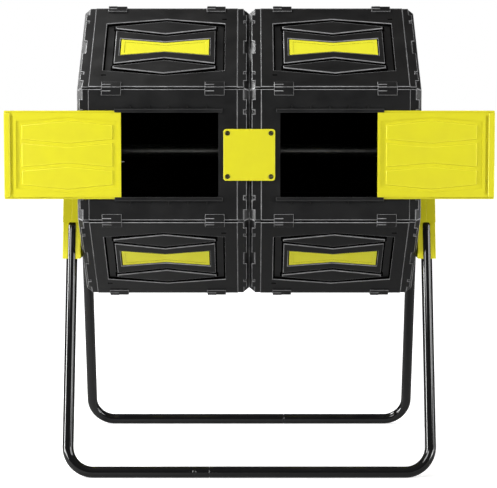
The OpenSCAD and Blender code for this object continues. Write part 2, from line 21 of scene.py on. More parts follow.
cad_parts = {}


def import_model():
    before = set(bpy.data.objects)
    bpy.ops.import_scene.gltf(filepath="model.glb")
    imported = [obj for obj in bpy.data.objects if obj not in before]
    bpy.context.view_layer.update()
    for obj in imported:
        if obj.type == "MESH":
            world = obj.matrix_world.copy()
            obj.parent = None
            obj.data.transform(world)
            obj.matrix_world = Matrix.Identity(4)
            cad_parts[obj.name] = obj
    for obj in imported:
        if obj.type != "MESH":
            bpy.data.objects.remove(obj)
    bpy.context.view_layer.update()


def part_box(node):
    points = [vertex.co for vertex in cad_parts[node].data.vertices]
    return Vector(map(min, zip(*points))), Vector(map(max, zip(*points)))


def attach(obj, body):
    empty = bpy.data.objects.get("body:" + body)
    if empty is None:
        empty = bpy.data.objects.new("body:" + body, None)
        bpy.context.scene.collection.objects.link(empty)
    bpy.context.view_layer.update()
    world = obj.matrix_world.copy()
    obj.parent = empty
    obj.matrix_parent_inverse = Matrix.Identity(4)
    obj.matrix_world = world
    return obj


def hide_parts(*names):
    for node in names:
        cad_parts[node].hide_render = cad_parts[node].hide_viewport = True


LOG = logging.getLogger("tumbler")
MM = 0.001
# marks rounded edges for a lighter colour: partly wear, partly a painted highlight
WEAR_AND_HIGHLIGHT = "wear_and_highlight"
# material slot of a near-black finish that paints shade on relief walls, at their feet and in the
# grooves between panels
PAINTED_SHADE_SLOT = 1
SUNK = 0.2  # how far one shell is sunk into the next, in millimetres
HAIR = 0.1  # slack in telling which edges lie at a height, in millimetres
FINE, EASED = 0.4, 0.5  # roundings of small moulded edges, in millimetres

Point = tuple[float, float]
Outline = Sequence[Point]
EdgeTest = Callable[[bmesh.types.BMEdge], bool]
GroupFiller = Callable[["NodeTree", bpy.types.Node, bpy.types.Node], None]


class Side(Enum):
    """The two ends of the axle."""

    LEFT = -1
    RIGHT = 1

    @property
    def word(self) -> str:
        """The side's name as the nodes spell it."""
        return self.name.lower()


# ---- outlines ----------------------------------------------------------------


def waisted(length: float, end: float, middle: float) -> list[Point]:
    """Six-cornered outline that is `end` high at both ends and `middle` high halfway.

    Args:
        length: Length along the first axis.
        end: Height at both ends.
        middle: Height halfway along.

    Returns:
        The corners, counter-clockwise.
    """
    x, e, m = length / 2, end / 2, middle / 2
    return [(-x, -e), (0, -m), (x, -e), (x, e), (0, m), (-x, e)]


def lens(length: float, inner_end: float, inner_middle: float, outer_end: float,
         outer_middle: float, side: int) -> list[Point]:
    """Outline of the bar between two waisted outlines, above or below the middle line.

    Args:
        length: Length along the first axis.
        inner_end: Height of the inner outline at its ends.
        inner_middle: Height of the inner outline halfway.
        outer_end: Height of the outer outline at its ends.
        outer_middle: Height of the outer outline halfway.
        side: 1 for the bar above the middle line, -1 for the one below it.

    Returns:
        The corners.
    """
    x = length / 2
    rise = [(-x, inner_end), (0, inner_middle), (x, inner_end),
            (x, outer_end), (0, outer_middle), (-x, outer_end)]
    return [(px, side * py / 2) for px, py in rise]


def rectangle(x0: float, y0: float, x1: float, y1: float) -> list[Point]:
    """Corners of an upright rectangle, counter-clockwise."""
    return [(x0, y0), (x1, y0), (x1, y1), (x0, y1)]


def arc(centre: Point, radius: float, start: float, end: float, steps: int) -> list[Point]:
    """Points along an arc.

    Args:
        centre: Centre of the arc.
        radius: Radius of the arc.
        start: First angle, in degrees.
        end: Last angle, in degrees.
        steps: Number of equal steps between them.

    Returns:
        The points from start to end, both included.
    """
    turns = [math.radians(start + (end - start) * i / steps) for i in range(steps + 1)]
    return [(centre[0] + radius * math.cos(t), centre[1] + radius * math.sin(t)) for t in turns]


def disc(centre: Point, radius: float, steps: int = 24) -> list[Point]:
    """A circle's points, counter-clockwise."""
    return arc(centre, radius, 0, 360, steps)[:-1]


def moved(outline: Outline, x: float, y: float) -> list[Point]:
    """An outline shifted by x and y."""
    return [(px + x, py + y) for px, py in outline]


def rounded(corners: Outline, radius: float, steps: int = 4) -> list[Point]:
    """Rounds each corner of an outline.

    Args:
        corners: The sharp outline.
        radius: Radius of every corner, reduced where a side is short.
        steps: Number of segments in each corner.

    Returns:
        The rounded outline, in the same direction.
    """
    longest = 0.45
    out: list[Point] = []
    for i, corner in enumerate(corners):
        here = Vector(corner)
        back = Vector(corners[i - 1]) - here
        ahead = Vector(corners[(i + 1) % len(corners)]) - here
        reach = min(radius / math.tan(back.angle(ahead) / 2),
                    back.length * longest, ahead.length * longest)
        start = here + back.normalized() * reach
        end = here + ahead.normalized() * reach
        for step in range(steps + 1):
            t = step / steps
            point = start * (1 - t) ** 2 + here * 2 * t * (1 - t) + end * t**2
            out.append((point.x, point.y))
    return out


# ---- mesh building -----------------------------------------------------------


class Shape:
    """A mesh under construction, made of closed shells, in millimetres."""

    def __init__(self) -> None:
        """Starts an empty shape with a layer that marks rounded edges."""
        self.bm = bmesh.new()
        self.bm.loops.layers.float.new(WEAR_AND_HIGHLIGHT)

    def plate(self, outline: Outline, low: float, high: float,
              holes: Iterable[Outline] = ()) -> Shape:
        """Adds a flat plate with holes right through it.

        Args:
            outline: The plate's outer edge.
            low: Height of its lower face.
            high: Height of its upper face.
            holes: Edges of the holes.

        Returns:
            This shape.
        """
        edges = []
        for loop in (outline, *holes):
            verts = [self.bm.verts.new((x, y, low)) for x, y in loop]
            edges += [self.bm.edges.new((verts[i - 1], verts[i])) for i in range(len(verts))]
        filled = bmesh.ops.triangle_fill(self.bm, use_beauty=True, use_dissolve=False, edges=edges)
        faces = [g for g in filled["geom"] if isinstance(g, bmesh.types.BMFace)]
        raised = bmesh.ops.extrude_face_region(self.bm, geom=faces, use_keep_orig=True)
        verts = [g for g in raised["geom"] if isinstance(g, bmesh.types.BMVert)]
        bmesh.ops.translate(self.bm, verts=verts, vec=(0, 0, high - low))
        bmesh.ops.dissolve_limit(self.bm, angle_limit=math.radians(0.5), verts=self.bm.verts,
                                 edges=self.bm.edges)
        return self.outward()

    def block(self, x0: float, y0: float, x1: float, y1: float, low: float, high: float,
              holes: Iterable[Outline] = ()) -> Shape:
        """Adds a flat plate with an upright rectangle for its edge."""
        return self.plate(rectangle(x0, y0, x1, y1), low, high, holes)

    def island(self, outline: Outline, low: float, high: float, draft: float,
               root: float = 0.3) -> Shape:
        """Adds a raised block whose sides lean inward as they rise.

        Args:
            outline: The block's edge at its foot.
            low: Height of its foot.
            high: Height of its top.
            draft: How far the top's edge lies inside the foot's.
            root: Depth of the part buried under the foot.

        Returns:
            This shape.
        """
        self.plate(outline, low - root, low)
        tops = [f for f in self.bm.faces
                if f.normal.z > 0.99 and abs(f.calc_center_median().z - low) < 0.001]
        bmesh.ops.inset_region(self.bm, faces=tops, thickness=draft, depth=high - low,
                               use_even_offset=True, use_boundary=True)
        return self.outward()

    def turned(self, profile: Outline, steps: int = 48) -> Shape:
        """Adds a closed profile turned round the third axis.

        Args:
            profile: Points of (radius, height); a radius of zero closes on the axis.
            steps: Number of sides.

        Returns:
            This shape.
        """
        verts = [self.bm.verts.new((r, 0, z)) for r, z in profile]
        edges = [self.bm.edges.new((verts[i - 1], verts[i])) for i in range(len(verts))
                 if verts[i - 1].co.x > 0 or verts[i].co.x > 0]
        bmesh.ops.spin(self.bm, geom=verts + edges, cent=(0, 0, 0), axis=(0, 0, 1), dvec=(0, 0, 0),
                       angle=math.tau, steps=steps, use_merge=True, use_duplicate=False)
        bmesh.ops.remove_doubles(self.bm, verts=self.bm.verts, dist=0.001)
        return self.outward()

    def bar(self, section: Outline, start: float, end: float) -> Shape:
        """Adds a bar along the first axis whose cross-section is drawn in the other two.

        Args:
            section: The cross-section.
            start: Where the bar starts along the first axis.
            end: Where it ends.

        Returns:
            This shape.
        """
        self.plate(section, start, end)
        swap = Matrix(((0, 0, 1, 0), (1, 0, 0, 0), (0, 1, 0, 0), (0, 0, 0, 1)))
        bmesh.ops.transform(self.bm, matrix=swap, verts=self.bm.verts)
        return self

    def ring(self, outer: float, inner: float, low: float, high: float, steps: int = 48) -> Shape:
        """Adds a ring round the third axis, or a disc if the inner radius is zero."""
        return self.turned([(inner, low), (outer, low), (outer, high), (inner, high)], steps)

    def soften(self, width: float, segments: int = 3, where: EdgeTest | None = None,
               angle: float = 25.0, mark: float = 1.0) -> Shape:
        """Rounds the sharp edges and marks the rounding.

        Args:
            width: Width of the rounding.
            segments: Number of facets across it.
            where: Tells which of the sharp edges to round; all of them if it isn't given.
            angle: Least angle between the faces of a sharp edge, in degrees.
            mark: Share of the lighter edge colour on the rounding, from 0 for none to 1; partly
                wear, partly a painted highlight.

        Returns:
            This shape.
        """
        limit = math.radians(angle)
        edges = [e for e in self.bm.edges
                 if e.is_manifold and e.calc_face_angle() > limit and (where is None or where(e))]
        made = bmesh.ops.bevel(
            self.bm, geom=edges, offset=width, offset_type="OFFSET", segments=segments,
            profile=0.5, affect="EDGES", clamp_overlap=True, material=-1, loop_slide=True)
        wear_and_highlight = self.bm.loops.layers.float[WEAR_AND_HIGHLIGHT]
        for face in made["faces"]:
            for loop in face.loops:
                loop[wear_and_highlight] = mark
        return self

    def crown(self, width: float, segments: int, top: float, angle: float = 25.0) -> Shape:
        """Rounds the sharp edges that lie at the top, and marks the rounding."""
        return self.soften(width, segments, above(top - HAIR), angle)

    def rubbed(self) -> Shape:
        """Marks every face as a rounded edge, so the whole shape takes the lighter edge colour, a
        painted highlight that is partly wear.

        Returns:
            This shape.
        """
        wear_and_highlight = self.bm.loops.layers.float[WEAR_AND_HIGHLIGHT]
        for face in self.bm.faces:
            for loop in face.loops:
                loop[wear_and_highlight] = 1.0
        return self

    def painted_shade_all_over(self) -> Shape:
        """Gives every face the near-black painted-shade finish.

        Returns:
            This shape.
        """
        for face in self.bm.faces:
            face.material_index = PAINTED_SHADE_SLOT
        return self

    def painted_shade_on_walls(self) -> Shape:
        """Paints shade on the upright walls: gives them the near-black painted-shade finish, apart
        from the rounded edges.

        Returns:
            This shape.
        """
        wear_and_highlight = self.bm.loops.layers.float[WEAR_AND_HIGHLIGHT]
        for face in self.bm.faces:
            if abs(face.normal.z) < 0.35 and all(loop[wear_and_highlight] == 0 for loop in face.loops):
                face.material_index = PAINTED_SHADE_SLOT
        return self

    def outward(self) -> Shape:
        """Turns every face outward."""
        bmesh.ops.recalc_face_normals(self.bm, faces=self.bm.faces)
        return self

    def place(self, matrix: Matrix) -> Shape:
        """Moves the shape, and keeps its faces outward if the move mirrors it.

        Args:
            matrix: The move.

        Returns:
            This shape.
        """
        bmesh.ops.transform(self.bm, matrix=matrix, verts=self.bm.verts)
        if matrix.determinant() < 0:
            bmesh.ops.reverse_faces(self.bm, faces=self.bm.faces)
        return self

    def add(self, other: Shape, matrix: Matrix | None = None, keep: bool = False) -> Shape:
        """Adds another shape's shells.

        Args:
            other: The shape to add; it is used up unless it is kept.
            matrix: Where it goes; unmoved if it isn't given.
            keep: Whether the other shape can be used again.

        Returns:
            This shape.
        """
        carrier = bpy.data.meshes.new("carrier")
        other.bm.to_mesh(carrier)
        if not keep:
            other.bm.free()
        if matrix is not None:
            carrier.transform(matrix)
            if matrix.determinant() < 0:
                carrier.flip_normals()
        self.bm.from_mesh(carrier)
        bpy.data.meshes.remove(carrier)
        return self

    def piece(self, name: str, place: Matrix) -> bpy.types.Object:
        """Turns a copy of the shape into a scene object with evened normals.

        Args:
            name: The object's name.
            place: Where the shape goes, in millimetres.

        Returns:
            The object, at the origin.
        """
        mesh = bpy.data.meshes.new(name)
        self.bm.to_mesh(mesh)
        mesh.transform(Matrix.Scale(MM, 4) @ place)
        if place.determinant() < 0:
            mesh.flip_normals()
        mesh.shade_smooth()
        mesh.set_sharp_from_angle(angle=math.radians(50))
        thing = bpy.data.objects.new(name, mesh)
        bpy.context.scene.collection.objects.link(thing)
        evened = thing.modifiers.new("evened normals", "WEIGHTED_NORMAL")
        evened.keep_sharp = True
        evened.weight = 100
        return thing


def above(height: float) -> EdgeTest:
    """Test for edges that lie wholly above a height."""
    return lambda edge: all(v.co.z > height for v in edge.verts)


# ---- finishes ----------------------------------------------------------------


class NodeTree:
    """Short names for building a shader or group tree."""

    def __init__(self, tree: bpy.types.NodeTree) -> None:
        """Wraps a node tree."""
        self.tree = tree

    def node(self, kind: str, **settings: object) -> bpy.types.Node:
        """Adds a node and sets its properties.

        Args:
            kind: The node's type.
            settings: Its properties by name.

        Returns:
            The node.
        """
        made = self.tree.nodes.new(kind)
        for key, value in settings.items():
            setattr(made, key, value)
        return made

    def put(self, socket: bpy.types.NodeSocket, value: object) -> None:
        """Links another socket to this one, or sets this one's constant.

        Args:
            socket: The input.
            value: The output to link, or the constant.
        """
        if isinstance(value, bpy.types.NodeSocket):
            self.tree.links.new(value, socket)
        else:
            socket.default_value = value

    def feed(self, node: bpy.types.Node, **values: object) -> bpy.types.Node:
        """Sets or links a node's inputs by name, with underscores for spaces.

        Args:
            node: The node.
            values: Constants or outputs by input name.

        Returns:
            The node.
        """
        for key, value in values.items():
            self.put(node.inputs[key.replace("_", " ")], value)
        return node

    @property
    def place(self) -> bpy.types.NodeSocket:
        """Object coordinates."""
        return self.node("ShaderNodeTexCoord").outputs["Object"]

    def noise(self, scale: object, detail: float, rough: float,
              vector: bpy.types.NodeSocket) -> bpy.types.NodeSocket:
        """Adds a noise texture and returns its value.

        Args:
            scale: Scale of the noise.
            detail: Number of octaves.
            rough: Strength of the finer octaves.
            vector: Where it is looked up.

        Returns:
            Its value.
        """
        made = self.feed(self.node("ShaderNodeTexNoise"), Scale=scale, Detail=detail,
                         Roughness=rough, Vector=vector)
        return made.outputs[0]

    def spread(self, value: bpy.types.NodeSocket, low: float, high: float,
               to_low: float, to_high: float) -> bpy.types.NodeSocket:
        """Maps a range of a value to another range, clamped.

        Args:
            value: The value.
            low: Start of its range.
            high: End of its range.
            to_low: Start of the new range.
            to_high: End of the new range.

        Returns:
            The mapped value.
        """
        made = self.node("ShaderNodeMapRange", clamp=True)
        for index, number in enumerate((value, low, high, to_low, to_high)):
            self.put(made.inputs[index], number)
        return made.outputs[0]

    def math(self, operation: str, first: object, second: object) -> bpy.types.NodeSocket:
        """Adds a two-input math node.

        Args:
            operation: Its operation.
            first: First input.
            second: Second input.

        Returns:
            Its result.
        """
        made = self.node("ShaderNodeMath", operation=operation)
        self.put(made.inputs[0], first)
        self.put(made.inputs[1], second)
        return made.outputs[0]

    def mix(self, factor: object, first: object, second: object) -> bpy.types.NodeSocket:
        """Mixes two colours.

        Args:
            factor: Share of the second colour.
            first: First colour.
            second: Second colour.

        Returns:
            The mixed colour.
        """
        made = self.node("ShaderNodeMix", data_type="RGBA")
        for index, value in ((0, factor), (6, first), (7, second)):
            self.put(made.inputs[index], value)
        return made.outputs[2]

    def bump(self, height: bpy.types.NodeSocket, strength: float,
             depth: float) -> bpy.types.NodeSocket:
        """Adds a bump node whose depth is in millimetres.

        Args:
            height: The height.
            strength: Strength of the bump.
            depth: Depth that the height stands for.

        Returns:
            The bumped normal.
        """
        made = self.feed(self.node("ShaderNodeBump"), Height=height, Strength=strength,
                         Distance=depth * MM)
        return made.outputs[0]

    def group(self, tree: bpy.types.NodeTree, **values: object) -> bpy.types.Node:
        """Places a node group and sets its inputs."""
        return self.feed(self.node("ShaderNodeGroup", node_tree=tree), **values)


def shared_group(name: str, inputs: dict[str, float], outputs: Sequence[str],
                 fill: GroupFiller) -> bpy.types.NodeTree:
    """Builds a shader node group once and returns it after that.

    Args:
        name: The group's name.
        inputs: Its number inputs and their usual values.
        outputs: Its number outputs.
        fill: Builds the inside from the tree, its input node and its output node.

    Returns:
        The group.
    """
    if name in bpy.data.node_groups:
        return bpy.data.node_groups[name]
    tree = bpy.data.node_groups.new(name, "ShaderNodeTree")
    for key, value in inputs.items():
        made = tree.interface.new_socket(name=key, in_out="INPUT", socket_type="NodeSocketFloat")
        made.default_value = value
    for key in outputs:
        tree.interface.new_socket(name=key, in_out="OUTPUT", socket_type="NodeSocketFloat")
    nodes = NodeTree(tree)
    fill(nodes, nodes.node("NodeGroupInput"), nodes.node("NodeGroupOutput"))
    return tree


def moulded_grain() -> bpy.types.NodeTree:
    """Fine spark-eroded grain over slow sink marks, as a height and a mottling mask.

    Returns:
        The group.
    """

    def fill(nodes: NodeTree, given: bpy.types.Node, out: bpy.types.Node) -> None:
        """Builds the inside of the group.

        Args:
            nodes: The group's tree.
            given: Its input node.
            out: Its output node.
        """
        place = nodes.place
        fine = nodes.noise(given.outputs["Grain Scale"], 3.0, 0.6, place)
        slow = nodes.noise(given.outputs["Mottle Scale"], 3.0, 0.55, place)
        sink = nodes.noise(16.0, 1.0, 0.4, place)
        height = nodes.math("ADD", nodes.math("MULTIPLY", fine, given.outputs["Grain Height"]),
                            nodes.math("MULTIPLY", sink, given.outputs["Sink Height"]))
        nodes.put(out.inputs["Height"], height)
        nodes.put(out.inputs["Mottle"], nodes.spread(slow, 0.35, 0.68, 0.0, 1.0))

    return shared_group(
        "moulded grain",
        {"Grain Scale": 850.0, "Mottle Scale": 22.0, "Grain Height": 1.0, "Sink Height": 2.0},
        ("Height", "Mottle"), fill)


def worn_and_highlighted_edges() -> bpy.types.NodeTree:
    """Where rounded edges take a lighter colour, partly wear and partly a painted highlight, and
    where dust settles, as two masks.

    Returns:
        The group.
    """

    def fill(nodes: NodeTree, given: bpy.types.Node, out: bpy.types.Node) -> None:
        """Builds the inside of the group.

        Args:
            nodes: The group's tree.
            given: Its input node.
            out: Its output node.
        """
        place = nodes.place
        mark = nodes.node("ShaderNodeAttribute", attribute_name=WEAR_AND_HIGHLIGHT).outputs["Fac"]
        patchy = nodes.spread(nodes.noise(60.0, 4.0, 0.65, place), 0.3, 0.7, 0.5, 1.0)
        rubbed = nodes.math("MULTIPLY", nodes.math("MULTIPLY", mark, patchy), given.outputs["Rub"])
        nodes.put(out.inputs["Rubbed"], rubbed)
        apart = nodes.node("ShaderNodeSeparateXYZ")
        nodes.put(apart.inputs[0], nodes.node("ShaderNodeNewGeometry").outputs["Normal"])
        settled = nodes.spread(apart.outputs[2], 0.3, 1.0, 0.0, 1.0)
        cloud = nodes.spread(nodes.noise(9.0, 5.0, 0.6, place), 0.4, 0.75, 0.15, 1.0)
        dusty = nodes.math("MULTIPLY", settled, cloud)
        nodes.put(out.inputs["Dusty"], nodes.math("MULTIPLY", dusty, given.outputs["Dust"]))

    return shared_group("worn and highlighted edges", {"Rub": 1.0, "Dust": 0.1}, ("Rubbed", "Dusty"), fill)


@dataclass(frozen=True)
class Coating:
    """What every finish has: a name, the record's slot and its colours."""

    name: str
    slot: str
    base: tuple[float, float, float]
    varied: tuple[float, float, float]
    # colour of rounded edges, lighter than the body: partly wear, partly a painted highlight
    edge: tuple[float, float, float]
    rough: tuple[float, float]

    def start(self) -> tuple[bpy.types.Material, NodeTree, bpy.types.Node]:
        """Makes an empty material and returns it with its tree and shader.

        Returns:
            The material, its tree and its shader.
        """
        material = bpy.data.materials.new(self.name)
        material.use_nodes = True
        return material, NodeTree(material.node_tree), material.node_tree.nodes["Principled BSDF"]

    def build(self) -> bpy.types.Material:
        """Makes the material."""
        raise NotImplementedError


@dataclass(frozen=True)
class Plastic(Coating):
    """A moulded polypropylene finish."""

    edge_rough: float = 0.26
    grain: float = 0.10
    dust: float = 0.03
    specular: float = 0.5

    def build(self) -> bpy.types.Material:
        """Makes the material.

        Returns:
            The material.
        """
        material, nodes, shader = self.start()
        grain = nodes.group(moulded_grain())
        edges = nodes.group(worn_and_highlighted_edges(), Dust=self.dust)
        mottle, rubbed = grain.outputs["Mottle"], edges.outputs["Rubbed"]
        body = nodes.mix(mottle, (*self.base, 1), (*self.varied, 1))
        # rounded edges take the lighter edge colour: partly wear, partly a painted highlight
        body = nodes.mix(rubbed, body, (*self.edge, 1))
        body = nodes.mix(edges.outputs["Dusty"], body, (0.36, 0.33, 0.28, 1))
        smoother = nodes.math("MULTIPLY", rubbed, self.edge_rough - self.rough[0])
        rough = nodes.math("ADD", nodes.spread(mottle, 0.0, 1.0, *self.rough), smoother)
        nodes.feed(shader, Base_Color=body, Roughness=rough, Specular_IOR_Level=self.specular,
                   Normal=nodes.bump(grain.outputs["Height"], self.grain, 0.3))
        return material


@dataclass(frozen=True)
class Paint(Coating):
    """A gloss powder coat on steel tube."""

    coat: float = 0.35

    def build(self) -> bpy.types.Material:
        """Makes the material.

        Returns:
            The material.
        """
        material, nodes, shader = self.start()
        place = nodes.place
        edges = nodes.group(worn_and_highlighted_edges(), Rub=0.8, Dust=0.04)
        cloud = nodes.noise(12.0, 4.0, 0.6, place)
        patchy = nodes.spread(cloud, 0.4, 0.7, 0.0, 1.0)
        body = nodes.mix(patchy, (*self.base, 1), (*self.varied, 1))
        # rounded edges take the lighter edge colour: partly wear, partly a painted highlight
        body = nodes.mix(edges.outputs["Rubbed"], body, (*self.edge, 1))
        body = nodes.mix(edges.outputs["Dusty"], body, (0.30, 0.28, 0.25, 1))
        peel = nodes.noise(260.0, 2.0, 0.5, place)
        nodes.feed(shader, Base_Color=body, Roughness=nodes.spread(cloud, 0.35, 0.7, *self.rough),
                   Coat_Weight=self.coat, Coat_Roughness=0.05, Normal=nodes.bump(peel, 0.05, 0.2))
        return material


@dataclass(frozen=True)
class Steel(Coating):
    """Plated steel with a drawn or machined grain."""

    stretch: tuple[float, float, float] = (30.0, 900.0, 900.0)

    def build(self) -> bpy.types.Material:
        """Makes the material.

        Returns:
            The material.
        """
        material, nodes, shader = self.start()
        place = nodes.place
        drawn = nodes.feed(nodes.node("ShaderNodeMapping"), Vector=place, Scale=self.stretch)
        lines = nodes.noise(1.0, 3.0, 0.6, drawn.outputs[0])
        cloud = nodes.spread(nodes.noise(40.0, 5.0, 0.65, place), 0.35, 0.7, 0.0, 1.0)
        edges = nodes.group(worn_and_highlighted_edges(), Rub=0.7, Dust=0.02)
        body = nodes.mix(cloud, (*self.base, 1), (*self.varied, 1))
        # rounded edges take the lighter edge colour: partly wear, partly a painted highlight
        body = nodes.mix(edges.outputs["Rubbed"], body, (*self.edge, 1))
        nodes.feed(shader, Base_Color=body, Roughness=nodes.spread(lines, 0.3, 0.7, *self.rough),
                   Metallic=1.0, Normal=nodes.bump(lines, 0.1, 0.1))
        return material


class Finish(Enum):
    """The finishes of this tumbler."""

    # the drum's edge colour is far lighter than its near-black body: mostly a painted highlight on
    # the rounded edges, partly wear
    DRUM = Plastic("drum black", "black_plastic", (0.0054, 0.0054, 0.0057),
                   (0.0073, 0.0073, 0.0076), (0.360, 0.360, 0.365), (0.38, 0.48),
                   edge_rough=0.14, specular=0.37)
    # near-black, barely reflective finish that stands for shade: painted shade on walls, in corners
    # and in grooves
    SOIL = Plastic("soil in the corners", "black_plastic", (0.0010, 0.0009, 0.0008),
                   (0.0018, 0.0016, 0.0013), (0.0018, 0.0016, 0.0013), (0.90, 1.0), edge_rough=0.9,
                   grain=0.25, dust=0.0, specular=0.03)
    DOOR = Plastic("door yellow", "yellow_plastic", (0.765, 0.710, 0.020), (0.740, 0.680, 0.017),
                   (0.870, 0.820, 0.045), (0.32, 0.42), grain=0.07, dust=0.015)
    INSERT = Plastic("insert yellow", "insert_yellow", (0.940, 0.900, 0.040), (0.900, 0.850, 0.030),
                     (0.950, 0.920, 0.070), (0.28, 0.38), grain=0.06, dust=0.015)
    BUSH = Plastic("bush nylon", "bush_plastic", (0.020, 0.020, 0.020), (0.026, 0.026, 0.026),
                   (0.060, 0.060, 0.060), (0.38, 0.50))
    TUBE = Paint("stand gloss black", "gloss_black_tube", (0.0040, 0.0040, 0.0045),
                 (0.0052, 0.0052, 0.0056), (0.030, 0.030, 0.032), (0.06, 0.11))
    ZINC = Steel("bright zinc", "zinc_steel", (0.60, 0.60, 0.57), (0.44, 0.44, 0.42),
                 (0.75, 0.75, 0.72), (0.28, 0.48))
    OLIVE = Steel("olive passivated screw", "zinc_steel", (0.150, 0.140, 0.050),
                  (0.080, 0.075, 0.030), (0.320, 0.310, 0.180), (0.30, 0.50),
                  stretch=(700.0, 700.0, 40.0))

    @property
    def material(self) -> bpy.types.Material:
        """The finish's material, made when it is first asked for."""
        return bpy.data.materials.get(self.value.name) or self.value.build()


def dress(shape: Shape, name: str, place: Matrix, finish: Finish, body: str, node: str) -> None:
    """Places a shape as a piece with its finish, its body and the CAD node it stands for.

    Args:
        shape: The shape.
        name: The piece's name.
        place: Where it goes, in millimetres.
        finish: Its finish.
        body: The body it moves with.
        node: The CAD node it replaces.
    """
    thing = shape.piece(name, place)
    thing.data.materials.append(finish.material)
    # faces marked for painted shade get the near-black second material
    if any(face.material_index == PAINTED_SHADE_SLOT for face in thing.data.polygons):
        thing.data.materials.append(Finish.SOIL.material)
    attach(thing, body)
    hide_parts(node)
    LOG.info("%s: %d faces on %s", thing.name, len(thing.data.polygons), body)


def repeat(shape: Shape, spots: Iterable[Matrix]) -> Shape:
    """Copies of a shape at several places, as one shape.

    Args:
        shape: The shape to copy.
        spots: Where the copies go.

    Returns:
        The copies.
    """
    many = Shape()
    for spot in spots:
        many.add(shape, spot, keep=True)
    return many


# ---- places ------------------------------------------------------------------


def slide(x: float, y: float, z: float) -> Matrix:
    """A move along the axes."""
    return Matrix.Translation((x, y, z))


def turn(angle: float, axis: str) -> Matrix:
    """A turn in degrees about one axis."""
    return Matrix.Rotation(math.radians(angle), 4, axis)


def flip_x(wanted: bool) -> Matrix:
    """A mirror across the first axis, if it is wanted."""
    return Matrix.Diagonal((-1 if wanted else 1, 1, 1, 1))


AS_DRAWN = Matrix.Identity(4)
FLIP_Y = Matrix.Diagonal((1, -1, 1, 1))
FLIP_Z = Matrix.Diagonal((1, 1, -1, 1))


@dataclass(frozen=True)
class Places:
    """Where things go on the tumbler, from the CAD frame, in millimetres."""

    axle_height: float
    panel_mid: float
    drum_half: float
    bracket_in: float
    bracket_out: float
    apothem: float = 269.93
    faces: int = 7
    foot_reach: float = 294.0
    leg_tilt: float = 16.53
    tube_r: float = 11.0

    @classmethod
    def measured(cls) -> Places:
        """Reads the main places off the CAD nodes' boxes.

        Returns:
            The places.
        """
        axle_low, axle_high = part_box("axle")
        panel_low, panel_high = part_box("right_panel_3")
        bracket_low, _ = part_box("right_bracket_inner")
        _, bracket_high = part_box("right_bracket_outer")
        _, end_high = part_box("right_outer_end")
        return cls(
            axle_height=(axle_low.z + axle_high.z) / 2 / MM,
            panel_mid=(panel_low.x + panel_high.x) / 2 / MM,
            drum_half=end_high.x / MM,
            bracket_in=bracket_low.x / MM,
            bracket_out=bracket_high.x / MM)

    @property
    def face_turn(self) -> float:
        """Angle from one drum face to the next, in degrees."""
        return 360 / self.faces

    @property
    def mitre(self) -> float:
        """Half the angle between two faces, in degrees."""
        return self.face_turn / 2

    @property
    def corner_r(self) -> float:
        """Radius to the drum's edges."""
        return self.apothem / math.cos(math.radians(self.mitre))

    @property
    def stand_half(self) -> float:
        """Distance from the middle to the legs and the brackets' parting planes."""
        return (self.bracket_in + self.bracket_out) / 2

    @property
    def bracket_half(self) -> float:
        """Thickness of a bracket's half shell."""
        return (self.bracket_out - self.bracket_in) / 2

    def plain_faces(self) -> list[tuple[Side, int]]:
        """Side and number of each drum face without a door."""
        return [(side, k) for side in Side for k in range(1, self.faces)]

    def at_axle(self, side: Side) -> Matrix:
        """The axle's middle, mirrored on the left."""
        return slide(0, 0, self.axle_height) @ flip_x(side is Side.LEFT)

    def at_face(self, side: Side, k: float, radius: float | None = None) -> Matrix:
        """Flat on drum face k: x along the axle, y up across the face, z outward."""
        return (slide(side.value * self.panel_mid, 0, self.axle_height)
                @ turn(90 - k * self.face_turn, "X") @ slide(0, 0, radius or self.apothem))

    def at_door(self, side: Side) -> Matrix:
        """As at_face on the door side, with x running outward from the drums' middle."""
        return self.at_face(side, 0) @ flip_x(side is Side.LEFT)

    def along_axle(self, side: Side) -> Matrix:
        """Centred on the axle with z outward along it."""
        return self.at_axle(side) @ turn(90, "Y") @ turn(90, "Z")

    def in_side_view(self, side: Side) -> Matrix:
        """Centred on the axle with z outward along it, x to the back and y up."""
        return self.at_axle(side) @ turn(90, "Z") @ turn(90, "X")

    def standing(self, rear: bool) -> Matrix:
        """A flat leg frame stood on the floor: x along the bottom bar, y up the legs."""
        return (turn(180 if rear else 0, "Z") @ slide(0, -self.foot_reach, self.tube_r)
                @ turn(90 - self.leg_tilt, "X"))


# ---- drum panels -------------------------------------------------------------


